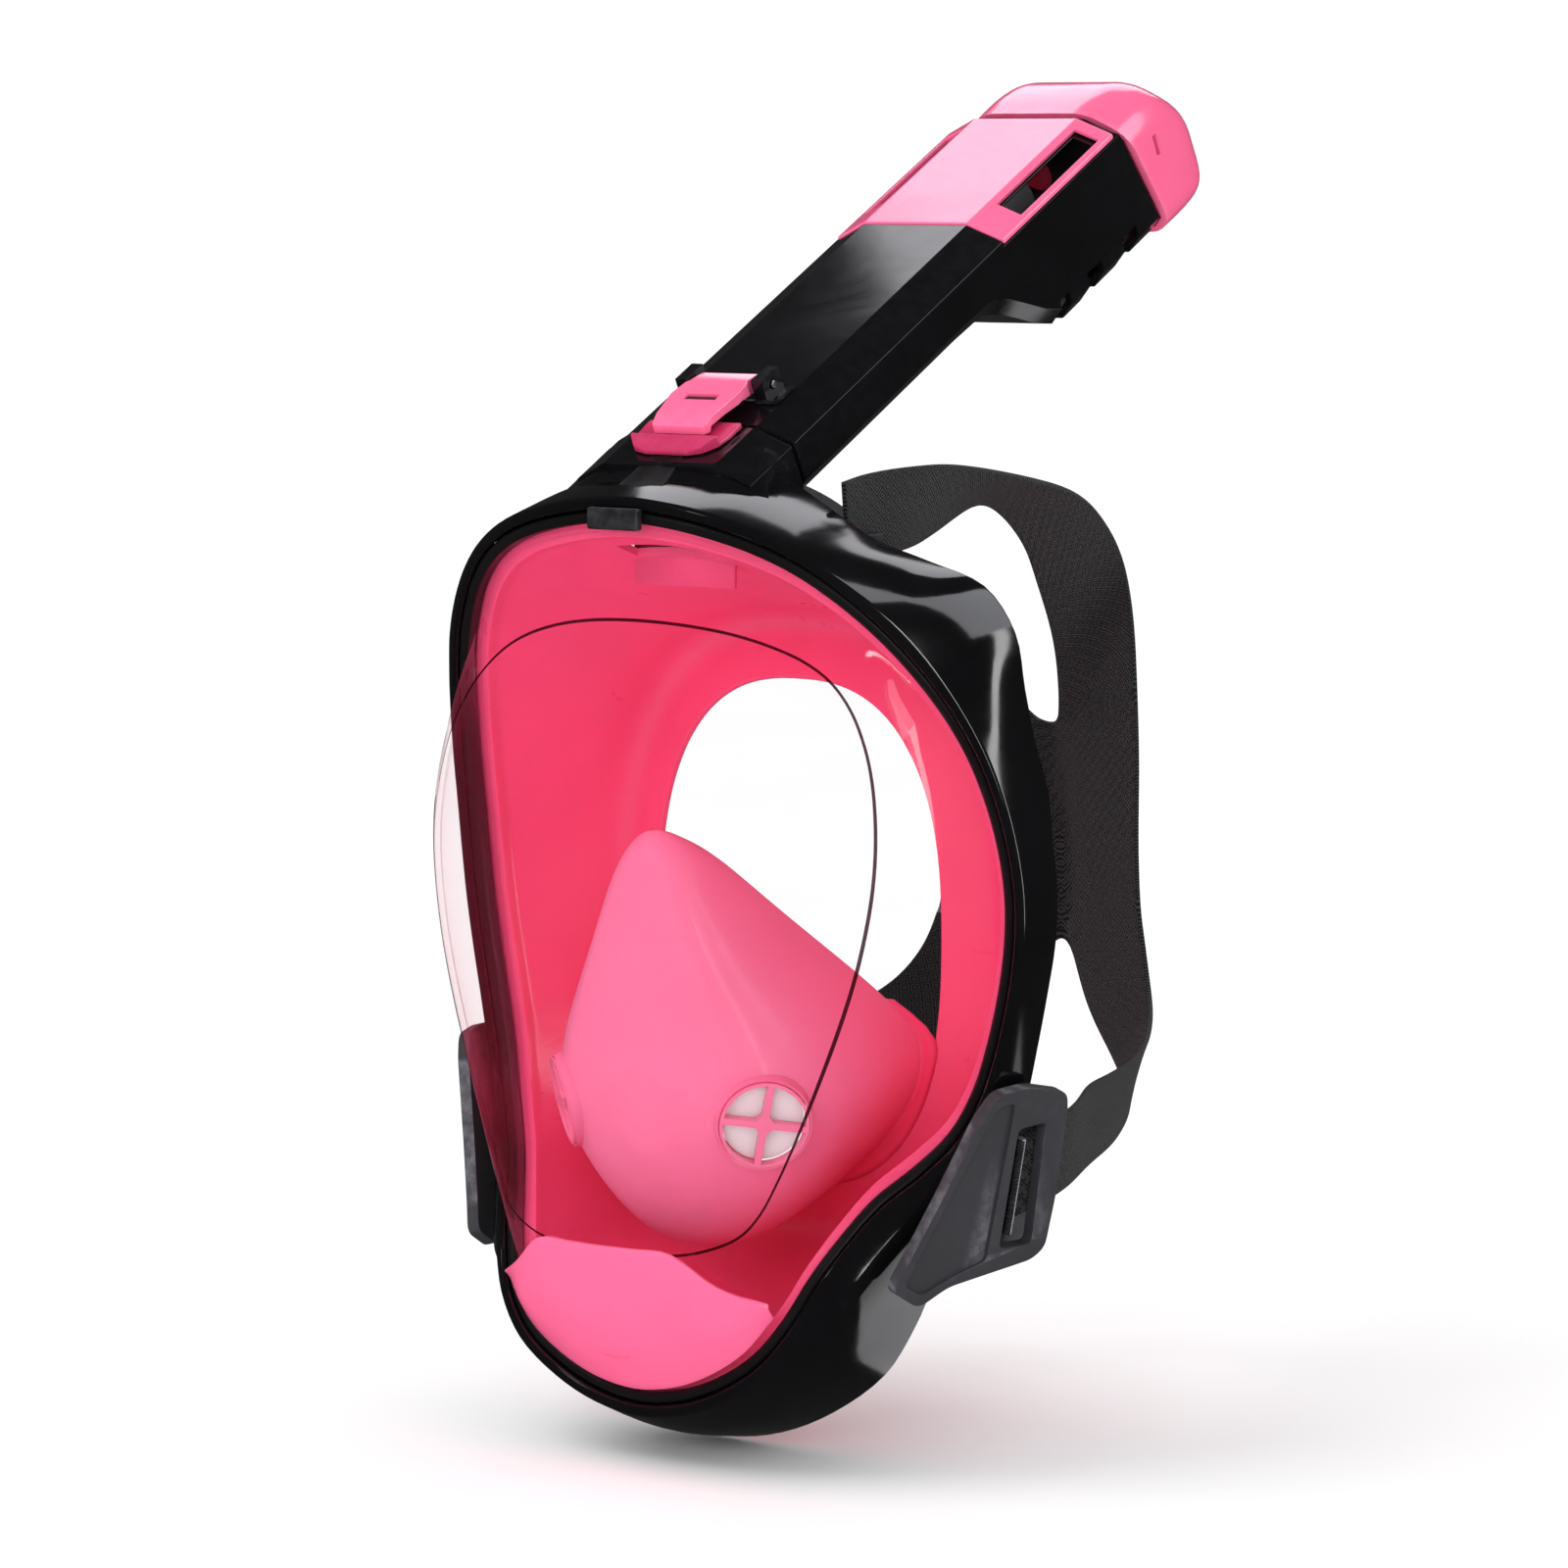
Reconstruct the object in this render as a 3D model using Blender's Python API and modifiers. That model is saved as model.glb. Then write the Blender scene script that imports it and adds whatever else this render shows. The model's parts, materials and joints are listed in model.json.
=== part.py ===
"""Full face snorkel mask with a folding dual-channel tube.

Row frame, metres, +Z up: the mask looks along -Y, X runs across the face and
the object is mirror symmetric about X = 0.  The origin is the middle of the
face opening, where a face seals against the skirt.
"""
import math
import bpy
import bmesh
from mathutils import Matrix, Vector

# ---------------------------------------------------------------- dimensions, mm
MM = 0.001
N_HALF = 26                 # stations of the rim from top to chin, one side
RIM_TOP_Z, RIM_BOTTOM_Z = 95.0, -146.0
# half width and depth of the visor opening at a few heights (z, half width, y)
RIM_STATIONS = [(95.0, 0.0, -76.0), (90.5, 32.0, -74.0), (80.0, 54.5, -65.5), (60.0, 73.0, -51.0),
                (34.0, 85.0, -36.0), (4.0, 90.0, -26.0), (-24.0, 89.0, -23.0), (-56.0, 82.0, -24.5),
                (-74.0, 74.5, -31.0), (-90.0, 61.0, -46.0), (-110.0, 50.5, -60.0), (-128.0, 41.0, -67.0),
                (-141.0, 22.0, -68.5), (-146.0, 0.0, -68.5)]
# front pane of the visor (z, half width, y)
PANE_STATIONS = [(68.5, 0.0, -70.0), (65.0, 33.0, -64.5), (55.0, 57.0, -59.5), (36.0, 71.0, -61.0),
                 (8.0, 76.0, -64.0), (-22.0, 72.0, -66.5), (-54.0, 61.5, -69.5), (-84.0, 49.5, -73.0),
                 (-98.0, 40.0, -76.0), (-104.0, 24.0, -81.0), (-104.0, 10.0, -83.0), (-104.0, 0.0, -83.5)]
PANE_CROWN = 8.0            # the pane's middle stands this far ahead of its edge
LENS_T = 2.0
SEAL_W = 3.0                # visible width of the rubber seal round the visor
SKIRT_T = 2.0
# face opening: half width, top and bottom height, depth of its lip
FACE_HALF_W, FACE_TOP_Z, FACE_BOTTOM_Z, FACE_Y = 49.0, 46.0, -97.0, 7.0

# snorkel tube: base point of its front face, rise above the horizontal
TUBE_BASE = Vector((0.0, -58.0, 110.0))
TUBE_RISE = math.radians(27.4)
TUBE_S0, TUBE_S1 = 22.6, 206.5     # along the tube from the base point
CAP_S0 = 209.0
SLANT = 12.0 / 44.0         # the tube's end and the cap's foot lean back by this much
FRONT_HW, SIDE_HW, BEVEL_D, TUBE_D, HEAD_D = 18.0, 29.0, 5.2, 22.0, 44.0
TUBE_WALL = 2.2

PARTS = bpy.data.collections.new("full_face_snorkel")
CUTS = bpy.data.collections.new("cutters")


# ---------------------------------------------------------------- helpers
def clear():
    for ob in list(bpy.data.objects):
        bpy.data.objects.remove(ob, do_unlink=True)
    bpy.context.scene.collection.children.link(PARTS)
    bpy.context.scene.collection.children.link(CUTS)


def material(name, rgb, rough, metal=0.0, alpha=1.0, transmission=0.0):
    m = bpy.data.materials.new(name)
    m.use_nodes = True
    b = m.node_tree.nodes["Principled BSDF"]
    b.inputs["Base Color"].default_value = (*[c ** 2.2 for c in rgb], 1.0)
    b.inputs["Roughness"].default_value = rough
    b.inputs["Metallic"].default_value = metal
    b.inputs["Alpha"].default_value = alpha
    b.inputs["Transmission Weight"].default_value = transmission
    m.diffuse_color = (*rgb, alpha)
    return m


def add_mesh(name, verts, faces, mat, cutter=False):
    """Verts in mm; faces are turned so that the closed body faces out."""
    me = bpy.data.meshes.new(name)
    bm = bmesh.new()
    vs = [bm.verts.new([c * MM for c in v]) for v in verts]
    for f in faces:
        bm.faces.new([vs[i] for i in f])
    if all(e.is_manifold for e in bm.edges) and bm.calc_volume(signed=True) < 0:
        bmesh.ops.reverse_faces(bm, faces=bm.faces)
    bm.to_mesh(me)
    bm.free()
    ob = bpy.data.objects.new(name, me)
    (CUTS if cutter else PARTS).objects.link(ob)
    if cutter:
        ob.hide_render = True
        ob.display_type = "WIRE"
    else:
        me.materials.append(mat)
        me.shade_smooth()
        me.set_sharp_from_angle(angle=math.radians(32))
    return ob


def ring_loft(name, sections, mat, cutter=False):
    """Closed sections carried round a closed path."""
    n, k = len(sections), len(sections[0])
    verts = [p for s in sections for p in s]
    faces = []
    for i in range(n):
        j = (i + 1) % n
        for a in range(k):
            b = (a + 1) % k
            faces.append((i * k + a, j * k + a, j * k + b, i * k + b))
    return add_mesh(name, verts, faces, mat, cutter)


def tube_loft(name, sections, mat, cutter=False):
    """Closed sections carried along an open path, capped at both ends."""
    n, k = len(sections), len(sections[0])
    verts = [p for s in sections for p in s]
    faces = []
    for i in range(n - 1):
        for a in range(k):
            b = (a + 1) % k
            faces.append((i * k + a, (i + 1) * k + a, (i + 1) * k + b, i * k + b))
    faces.append(tuple(range(k)))
    faces.append(tuple((n - 1) * k + a for a in range(k - 1, -1, -1)))
    return add_mesh(name, verts, faces, mat, cutter)


def cylinder(name, r, depth, mat, matrix, seg=24, cutter=False, r2=None):
    bm = bmesh.new()
    bmesh.ops.create_cone(bm, cap_ends=True, segments=seg, radius1=r * MM,
                          radius2=(r if r2 is None else r2) * MM, depth=depth * MM)
    me = bpy.data.meshes.new(name)
    bm.to_mesh(me)
    bm.free()
    ob = bpy.data.objects.new(name, me)
    (CUTS if cutter else PARTS).objects.link(ob)
    ob.matrix_world = matrix
    if cutter:
        ob.hide_render = True
        ob.display_type = "WIRE"
    else:
        me.materials.append(mat)
        me.shade_smooth()
        me.set_sharp_from_angle(angle=math.radians(32))
    return ob


def box(name, lo, hi, mat, matrix=None, cutter=False, bevel=0.0):
    bm = bmesh.new()
    bmesh.ops.create_cube(bm, size=1.0)
    for v in bm.verts:
        v.co = Vector([(lo[i] + hi[i]) / 2 + v.co[i] * (hi[i] - lo[i]) for i in range(3)]) * MM
    me = bpy.data.meshes.new(name)
    bm.to_mesh(me)
    bm.free()
    ob = bpy.data.objects.new(name, me)
    (CUTS if cutter else PARTS).objects.link(ob)
    if matrix is not None:
        ob.matrix_world = matrix
    if cutter:
        ob.hide_render = True
        ob.display_type = "WIRE"
    else:
        me.materials.append(mat)
    if bevel:
        b = ob.modifiers.new("Bevel", "BEVEL")
        b.width = bevel * MM
        b.segments = 2
        b.limit_method = "ANGLE"
    return ob


def cut(ob, cutter, operation="DIFFERENCE"):
    m = ob.modifiers.new("Cut", "BOOLEAN")
    m.operation = operation
    m.object = cutter
    m.solver = "EXACT"
    return m


def flat_shape(name, outlines, thick, mat, matrix, bevel=0.0, cutter=False):
    """A flat outline, with holes, of the given thickness, as a filled 2D curve."""
    cu = bpy.data.curves.new(name, "CURVE")
    cu.dimensions = "2D"
    cu.fill_mode = "BOTH"
    cu.extrude = thick / 2 * MM
    for pts in outlines:
        sp = cu.splines.new("POLY")
        sp.points.add(len(pts) - 1)
        for q, p in zip(sp.points, pts):
            q.co = (p[0] * MM, p[1] * MM, 0, 1)
        sp.use_cyclic_u = True
    ob = bpy.data.objects.new(name, cu)
    PARTS.objects.link(ob)
    ob.matrix_world = matrix
    bpy.context.view_layer.update()
    me = bpy.data.meshes.new_from_object(ob.evaluated_get(bpy.context.evaluated_depsgraph_get()))
    bm = bmesh.new()
    bm.from_mesh(me)
    bmesh.ops.remove_doubles(bm, verts=bm.verts, dist=1e-6)
    if bm.calc_volume(signed=True) < 0:
        bmesh.ops.reverse_faces(bm, faces=bm.faces)
    bm.to_mesh(me)
    bm.free()
    new = bpy.data.objects.new(name, me)
    (CUTS if cutter else PARTS).objects.link(new)
    new.matrix_world = ob.matrix_world.copy()
    bpy.data.objects.remove(ob, do_unlink=True)
    new.name = name
    me.materials.clear()
    if cutter:
        new.hide_render = True
        new.display_type = "WIRE"
    else:
        me.materials.append(mat)
    if bevel:
        b = new.modifiers.new("Bevel", "BEVEL")
        b.width = bevel * MM
        b.segments = 2
        b.limit_method = "ANGLE"
        b.angle_limit = math.radians(50)
    return new


def spline(stations, t):
    """Smooth curve through stations: centripetal Catmull-Rom, t from 0 to 1."""
    p = [Vector(s) for s in stations]
    lens = [0.0]
    for a, b in zip(p, p[1:]):
        lens.append(lens[-1] + (b - a).length)
    d = t * lens[-1]
    i = max(0, min(len(p) - 2, next((k for k in range(len(p) - 1) if lens[k + 1] >= d - 1e-9), len(p) - 2)))
    u = (d - lens[i]) / (lens[i + 1] - lens[i])
    return p, i, u


def catmull(stations, t, mirror_ends=False):
    p, i, u = spline(stations, t)
    flip = lambda v: Vector((v.x, -v.y, v.z)) if mirror_ends else v
    p0 = p[i - 1] if i > 0 else (flip(p[1]) if mirror_ends else 2 * p[0] - p[1])
    p3 = p[i + 2] if i + 2 < len(p) else (flip(p[-2]) if mirror_ends else 2 * p[-1] - p[-2])
    p1, p2 = p[i], p[i + 1]
    return 0.5 * ((2 * p1) + (p2 - p0) * u + (2 * p0 - 5 * p1 + 4 * p2 - p3) * u * u + (3 * p1 - p0 - 3 * p2 + p3) * u ** 3)


def closed_outline(stations, n_half):
    """Full loop (x, y, z) from half stations (z, half width, y): top, +X side, chin, -X side."""
    half = []
    for k in range(n_half + 1):
        q = catmull(stations, k / n_half, mirror_ends=True)
        half.append(Vector((q.y, q.z, q.x)))
    half[0].x = half[-1].x = 0.0
    return half + [Vector((-v.x, v.y, v.z)) for v in half[-2:0:-1]]


def normals_xz(loop):
    """Outward normals of a loop in the X-Z plane."""
    n, out = len(loop), []
    for i in range(n):
        t = loop[(i + 1) % n] - loop[i - 1]
        v = Vector((-t.z, 0.0, t.x))
        if v.dot(loop[i] - Vector((0, 0, -20))) < 0:
            v = -v
        out.append(v.normalized())
    return out


def smoothstep(a, b, x):
    t = max(0.0, min(1.0, (x - a) / (b - a)))
    return t * t * (3 - 2 * t)


RIM = closed_outline(RIM_STATIONS, N_HALF)
RIM_N = normals_xz(RIM)
PANE = closed_outline(PANE_STATIONS, N_HALF)
WIDE_N = list(RIM_N)        # the same normals evened out, for what stands far out
for _ in range(14):
    WIDE_N = [(WIDE_N[i - 1] + WIDE_N[i] * 2 + WIDE_N[(i + 1) % len(RIM)]).normalized() for i in range(len(RIM))]


def rim_point(i, o, d):
    """Point at the rim's station i, o mm outward and d mm back."""
    near = max(-30.0, min(o, 5.0))
    return RIM[i] + RIM_N[i] * near + WIDE_N[i] * max(0.0, o - 5.0) + Vector((0, d, 0))


def rim_ring(name, section, mat):
    return ring_loft(name, [[rim_point(i, o, d) for o, d in (section(i) if callable(section) else section)]
                            for i in range(len(RIM))], mat)


def tube_matrix(s, t, x=0.0):
    """Tube frame: X across, Y along the tube, Z out of its front face."""
    c, sn = math.cos(TUBE_RISE), math.sin(TUBE_RISE)
    along, out = Vector((0, c, sn)), Vector((0, -sn, c))
    m = Matrix.Identity(4)
    m.col[0][:3] = (1, 0, 0)
    m.col[1][:3] = along
    m.col[2][:3] = out
    m.translation = (TUBE_BASE + along * s + out * t + Vector((x, 0, 0))) * MM
    return m


def tube_pt(x, s, t):
    c, sn = math.cos(TUBE_RISE), math.sin(TUBE_RISE)
    return TUBE_BASE + Vector((x, c * s - sn * t, sn * s + c * t))


def plane_matrix(origin, normal, up):
    """Local Z along normal, local Y as near to up as it can be."""
    z = Vector(normal).normalized()
    y = (Vector(up) - z * z.dot(Vector(up))).normalized()
    x = y.cross(z)
    m = Matrix.Identity(4)
    m.col[0][:3], m.col[1][:3], m.col[2][:3] = x, y, z
    m.translation = Vector(origin) * MM
    return m


clear()
CLEAR = material("clear_polycarbonate", (0.93, 0.95, 0.97), 0.04, 0, 0.3, 0.9)
BLACK = material("gloss_black", (0.05, 0.05, 0.055), 0.16)
SATIN = material("satin_black", (0.08, 0.08, 0.085), 0.45)
PINK = material("pink_silicone", (1.0, 0.30, 0.48), 0.38)
CUP = material("cup_silicone", (1.0, 0.46, 0.61), 0.4)
GPINK = material("pink_plastic", (1.0, 0.43, 0.6), 0.2)
CRIMSON = material("crimson_plastic", (0.67, 0.13, 0.3), 0.3)
WEBBING = material("black_webbing", (0.15, 0.15, 0.16), 0.85)
GREY = material("dark_grey_plastic", (0.24, 0.24, 0.27), 0.5)
STEEL = material("steel", (0.75, 0.75, 0.77), 0.25, 1.0)
MEMBRANE = material("membrane", (0.88, 0.88, 0.86), 0.45)

N = len(RIM)


# ---------------------------------------------------------------- visor
def lens_rings():
    """Rings of the visor's outer surface, from its flange in to the pane's middle."""
    rings = [[rim_point(i, -0.6, 1.6) for i in range(N)], [rim_point(i, -2.6, 0.2) for i in range(N)]]
    pane = PANE
    shoulder = []
    for i in range(N):
        a, b = rings[1][i], pane[i]
        m = a.lerp(b, 0.55)
        out = RIM_N[i] * (2.2 * smoothstep(-100, -60, RIM[i].z)) + Vector((0, -1.5, 0))
        shoulder.append(m + out)
    rings.append(shoulder)
    near = [shoulder[i].lerp(pane[i], 0.82) + RIM_N[i] * 0.8 * smoothstep(-100, -60, RIM[i].z) for i in range(N)]
    rings.append(near)
    mid = Vector((0, 0, -8.0))
    for f in (0.985, 0.80, 0.52, 0.24):
        ring = []
        for i in range(N):
            p = pane[i]
            q = Vector((p.x * f, 0, mid.z + (p.z - mid.z) * f))
            edge_y = p.y * f + (1 - f) * (-66.0 - 0.07 * (0 - q.z))
            q.y = edge_y - PANE_CROWN * (1 - f ** 2)
            ring.append(q)
        rings.append(ring)
    return rings


LENS_RINGS = lens_rings()


def dish(name, rings, mat, thick, inward=True):
    """Open surface of nested rings closed at the middle, thickened by Solidify."""
    n = len(rings[0])
    verts = [p for r in rings for p in r]
    centre = sum(rings[-1], Vector()) / n
    centre.y = min(p.y for p in rings[-1]) - 0.2
    verts.append(centre)
    faces = []
    for r in range(len(rings) - 1):
        for i in range(n):
            j = (i + 1) % n
            faces.append((r * n + i, r * n + j, (r + 1) * n + j, (r + 1) * n + i))
    last = (len(rings) - 1) * n
    for i in range(n):
        faces.append((last + i, last + (i + 1) % n, len(verts) - 1))
    ob = add_mesh(name, verts, faces, mat)
    s = ob.modifiers.new("Solidify", "SOLIDIFY")
    s.thickness = thick * MM
    s.offset = -1.0 if inward else 1.0
    s.use_quality_normals = True
    return ob


lens = dish("lens", LENS_RINGS, CLEAR, LENS_T)
# faces must look forward, so that Solidify thickens backwards
if sum((f.normal.y * f.area for f in lens.data.polygons)) > 0:
    lens.data.flip_normals()

lens_seal = rim_ring("lens_seal", [(0.0, 4.0), (0.0, 0.3), (1.0, -0.6), (2.6, -0.6), (SEAL_W + 0.2, 0.2), (SEAL_W + 0.2, 4.0)], SATIN)


# ---------------------------------------------------------------- frame
def ramp(pairs, v):
    """Straight-line lookup in a short table whose first column falls."""
    for (v0, y0), (v1, y1) in zip(pairs, pairs[1:]):
        if v >= v1:
            return y0 + (y1 - y0) * min(1.0, max(0.0, (v0 - v) / (v0 - v1)))
    return pairs[-1][1]


# rear edge of the frame's flank: depth y and flare beyond the lip, by rim height
FRAME_REAR_Y = [(95.0, -36.0), (90.0, -40.0), (84.0, -37.0), (77.0, -31.0), (70.0, -27.0), (62.0, -23.5), (43.0, -18.0),
                (20.0, -11.0), (-12.0, -7.5), (-44.0, -9.0), (-60.0, -10.0), (-90.0, -11.0), (-128.0, -17.0), (-146.0, -27.0)]
FRAME_FLARE = [(95.0, 9.0), (92.5, 8.0), (88.0, 4.5), (83.0, 2.8), (77.0, 4.5), (70.0, 12.0), (62.0, 15.0), (52.0, 12.0),
               (40.0, 4.0), (10.0, 0.8), (-40.0, 0.8), (-66.0, 3.0), (-90.0, 6.0), (-118.0, 7.0), (-130.0, 10.0), (-146.0, 13.5)]


def frame_section(i):
    """Front lip, then a flank that is deep at the top and narrow at the cheeks."""
    z = RIM[i].z
    jaw = smoothstep(-62, -80, z) * (1 - smoothstep(-112, -126, z))
    back = ramp(FRAME_REAR_Y, z) - RIM[i].y
    out = ramp(FRAME_FLARE, z)
    o0, lip = SEAL_W + 0.6, 3.2
    mid_b, mid_o = back * (0.42 - 0.3 * jaw), lip + 0.5 + out * 0.6 + 3.5 * jaw
    return [(o0, 4.2), (o0, -0.4), (o0 + 0.9, -1.4), (o0 + lip, -1.2), (o0 + mid_o, mid_b), (o0 + lip + out, back),
            (o0 + lip + out - 2.4, back + 0.3), (o0 + mid_o - 2.4, mid_b + 1.4), (o0 + 2.2, 4.2)]


frame_shell = rim_ring("frame_shell", frame_section, BLACK)

top_clip = box("top_clip", (-8.5, -80.6, 93.2), (8.5, -77.6, 99.2), SATIN, bevel=0.7)

retainer_ring = rim_ring("retainer_ring", [(-0.6, 7.2), (4.4, 7.2), (4.4, 9.4), (-0.6, 9.4)], SATIN)


# ---------------------------------------------------------------- skirt
def face_point(i, grow, y):
    """Point of the face opening's outline that belongs to rim station i."""
    c = Vector((0, 0, (FACE_TOP_Z + FACE_BOTTOM_Z) / 2))
    a = math.atan2(RIM[i].z - c.z, RIM[i].x)
    w, h = FACE_HALF_W + grow, (FACE_TOP_Z - FACE_BOTTOM_Z) / 2 + grow
    ca, sa = math.cos(a), math.sin(a)
    r = (abs(ca / w) ** 2.5 + abs(sa / h) ** 2.5) ** (-1 / 2.5)
    return Vector((r * ca, y, c.z + r * sa))


def skirt_section(i):
    outer = [rim_point(i, 3.1, 4.5), rim_point(i, 3.1, 6.7), rim_point(i, -1.2, 6.7), rim_point(i, -2.2, 9.0)]
    back = face_point(i, 22.0, 12.0)
    mid = rim_point(i, -6.0, 15.0).lerp(back, 0.4)
    wall = [mid, back, face_point(i, 15.0, 15.0), face_point(i, 0.0, FACE_Y + 1.0)]
    inner = [face_point(i, 0.6, FACE_Y - 1.0), face_point(i, 14.0, 12.4), face_point(i, 19.2, 10.2),
             mid + (back - mid) * 0.02 - RIM_N[i] * 2.1, rim_point(i, -4.4, 8.6), rim_point(i, -4.2, 4.5)]
    return outer + wall + inner


face_skirt = ring_loft("face_skirt", [skirt_section(i) for i in range(N)], PINK)



# ---------------------------------------------------------------- nose cup
def cup_outline(k, n, w, top, bottom, y_top, y_side, y_bottom, pinch):
    """Pear shaped loop: narrow at the nose's bridge, which stands ahead, wide at the mouth."""
    a = 2 * math.pi * k / n
    c, sn = math.cos(a), math.sin(a)
    h = (top - bottom) / 2
    z = (top + bottom) / 2 + h * c
    up = (z - bottom) / (top - bottom)
    x = w * sn * (1.0 - pinch * smoothstep(0.30, 0.90, up))
    f = max(0.0, (up - 0.42) / 0.58) ** 1.15
    y = y_side + (y_top - y_side) * f + (y_bottom - y_side) * smoothstep(0.4, 0.0, up)
    return Vector((x, y, z))


CUP_N = 40
CUP_RINGS = [(48.2, 8.0, -96.0, -55.0, 2.0, 3.0, 0.50), (48.4, 9.5, -103.0, -59.0, -19.0, -12.0, 0.50),
             (46.0, 9.0, -109.0, -62.5, -39.0, -30.0, 0.48), (39.5, 4.0, -108.0, -66.5, -55.5, -46.0, 0.42),
             (28.5, -8.0, -99.0, -69.5, -64.5, -58.0, 0.28), (12.0, -28.0, -78.0, -70.5, -69.0, -66.0, 0.0)]
cup_rings = [[cup_outline(k, CUP_N, *r) for k in range(CUP_N)] for r in CUP_RINGS]


def closed_cup(name, rings, thick, mat):
    n = len(rings[0])
    verts = [p for r in rings for p in r]
    centre = sum(rings[-1], Vector()) / n + Vector((0, -0.3, 0))
    verts.append(centre)
    faces = []
    for r in range(len(rings) - 1):
        for i in range(n):
            j = (i + 1) % n
            faces.append((r * n + i, (r + 1) * n + i, (r + 1) * n + j, r * n + j))
    last = (len(rings) - 1) * n
    for i in range(n):
        faces.append((last + (i + 1) % n, last + i, len(verts) - 1))
    ob = add_mesh(name, verts, faces, mat)
    if sum(f.normal.y * f.area for f in ob.data.polygons) > 0:
        ob.data.flip_normals()
    s = ob.modifiers.new("Solidify", "SOLIDIFY")
    s.thickness = thick * MM
    s.offset = -1.0
    s.use_quality_normals = True
    return ob


nose_cup = closed_cup("nose_cup", cup_rings, 2.0, CUP)

# inhale valves in the cup's cheeks
VALVE_R = 12.5
VALVE_POS, VALVE_NORMAL = Vector((33.9, -57.0, -69.3)), Vector((0.67, -0.71, -0.22))
for side, sx in (("left", 1), ("right", -1)):
    pos = Vector((VALVE_POS.x * sx, VALVE_POS.y, VALVE_POS.z))
    nrm = Vector((VALVE_NORMAL.x * sx, VALVE_NORMAL.y, VALVE_NORMAL.z)).normalized()
    m = plane_matrix(pos, nrm, (0, 0, 1))
    cut(nose_cup, cylinder("cup_hole_" + side, VALVE_R + 0.4, 26.0, None, m, 28, cutter=True))
    seat = cylinder("inhale_valve_seat_" + side, VALVE_R, 3.4, CUP, m, 28)
    for q in range(4):
        a = math.radians(45 + 90 * q - 8 * sx)
        r0, r1, half = 2.6, 10.6, math.radians(39)
        pts = [(r0 * math.cos(a + half * f) * 1.15, r0 * math.sin(a + half * f) * 1.15) for f in (-0.6, 0.6)]
        pts += [(r1 * math.cos(a + half * f), r1 * math.sin(a + half * f)) for f in (1, 0.5, 0, -0.5, -1)]
        wedge = flat_shape("seat_window_%s_%d" % (side, q), [pts], 8.0, None, m, cutter=True)
        cut(seat, wedge)
    inner = pos - nrm * 2.4
    cylinder("inhale_flap_" + side, 11.4, 0.8, MEMBRANE, plane_matrix(inner, nrm, (0, 0, 1)), 28)

# drain valve low in the visor, behind the chin cover
DRAIN_POS, DRAIN_NORMAL = Vector((0, -76.5, -122.0)), Vector((0, -0.94, -0.34))
dm = plane_matrix(DRAIN_POS, DRAIN_NORMAL, (0, 0, 1))
cut(lens, cylinder("drain_hole", 11.4, 14.0, None, dm, 28, cutter=True))
drain_seat = cylinder("drain_valve_seat", 11.0, 3.0, SATIN, dm, 28)
cut(drain_seat, cylinder("drain_bore", 7.5, 8.0, None, dm, 24, cutter=True))
DRAIN_OUT = DRAIN_NORMAL.normalized()
cylinder("drain_flap", 9.2, 0.8, MEMBRANE, plane_matrix(DRAIN_POS + DRAIN_OUT * 2.2, DRAIN_NORMAL, (0, 0, 1)), 24)


# ---------------------------------------------------------------- chin cover
def chin_cover_grid():
    """Patch that stands ahead of the visor's lower end, from its ledge to the rim."""
    low = [i for i in range(N) if RIM[i].z < -114.0]
    low.sort(key=lambda i: RIM[i].x)
    nu, nv = len(low), 7
    rows = []
    for a, i in enumerate(low):
        u = 2.0 * a / (nu - 1) - 1.0
        bottom = rim_point(i, -1.0, -2.6)
        flat = 1.0 - smoothstep(0.42, 1.0, abs(u))
        top = Vector((u * 45.5, -71.5 - 18.0 * (1 - abs(u) ** 2.2), -117.0 + 15.0 * flat))
        col = []
        for v in range(nv):
            f = v / (nv - 1)
            p = top.lerp(bottom, f)
            bulge = math.sin(math.pi * f) * (1 - abs(u) ** 3)
            p += Vector((0, -4.2 * bulge, -1.6 * bulge))
            col.append(p)
        rows.append(col)
    return rows


grid = chin_cover_grid()
gv = [p for col in grid for p in col]
nvv = len(grid[0])
gf = [(a * nvv + b, a * nvv + b + 1, (a + 1) * nvv + b + 1, (a + 1) * nvv + b) for a in range(len(grid) - 1) for b in range(nvv - 1)]
chin_cover = add_mesh("chin_cover", gv, gf, GPINK)
if sum(f.normal.y * f.area for f in chin_cover.data.polygons) > 0:
    chin_cover.data.flip_normals()
sol = chin_cover.modifiers.new("Solidify", "SOLIDIFY")
sol.thickness, sol.offset = 2.0 * MM, -1.0
sol.use_quality_normals = True

# ---------------------------------------------------------------- snorkel tube
def tube_section(s, inset=0.0, d=TUBE_D, hw=SIDE_HW, fw=FRONT_HW, bev=BEVEL_D, slant=0.0):
    """Faceted outline of the tube: flat front, two bevels, sides, rounded rear."""
    i = inset
    pts = [(-fw + i * 0.4, -i), (fw - i * 0.4, -i), (hw - i, -bev - i * 0.4), (hw - i, -d + 5 + i * 0.4),
           (hw - 5 - i * 0.4, -d + i), (-hw + 5 + i * 0.4, -d + i), (-hw + i, -d + 5 + i * 0.4), (-hw + i, -bev - i * 0.4)]
    return [tube_pt(x, s - slant * t, t) for x, t in pts]


def head_depth(s):
    return TUBE_D + (HEAD_D - TUBE_D) * smoothstep(122.0, 164.0, s)


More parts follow.
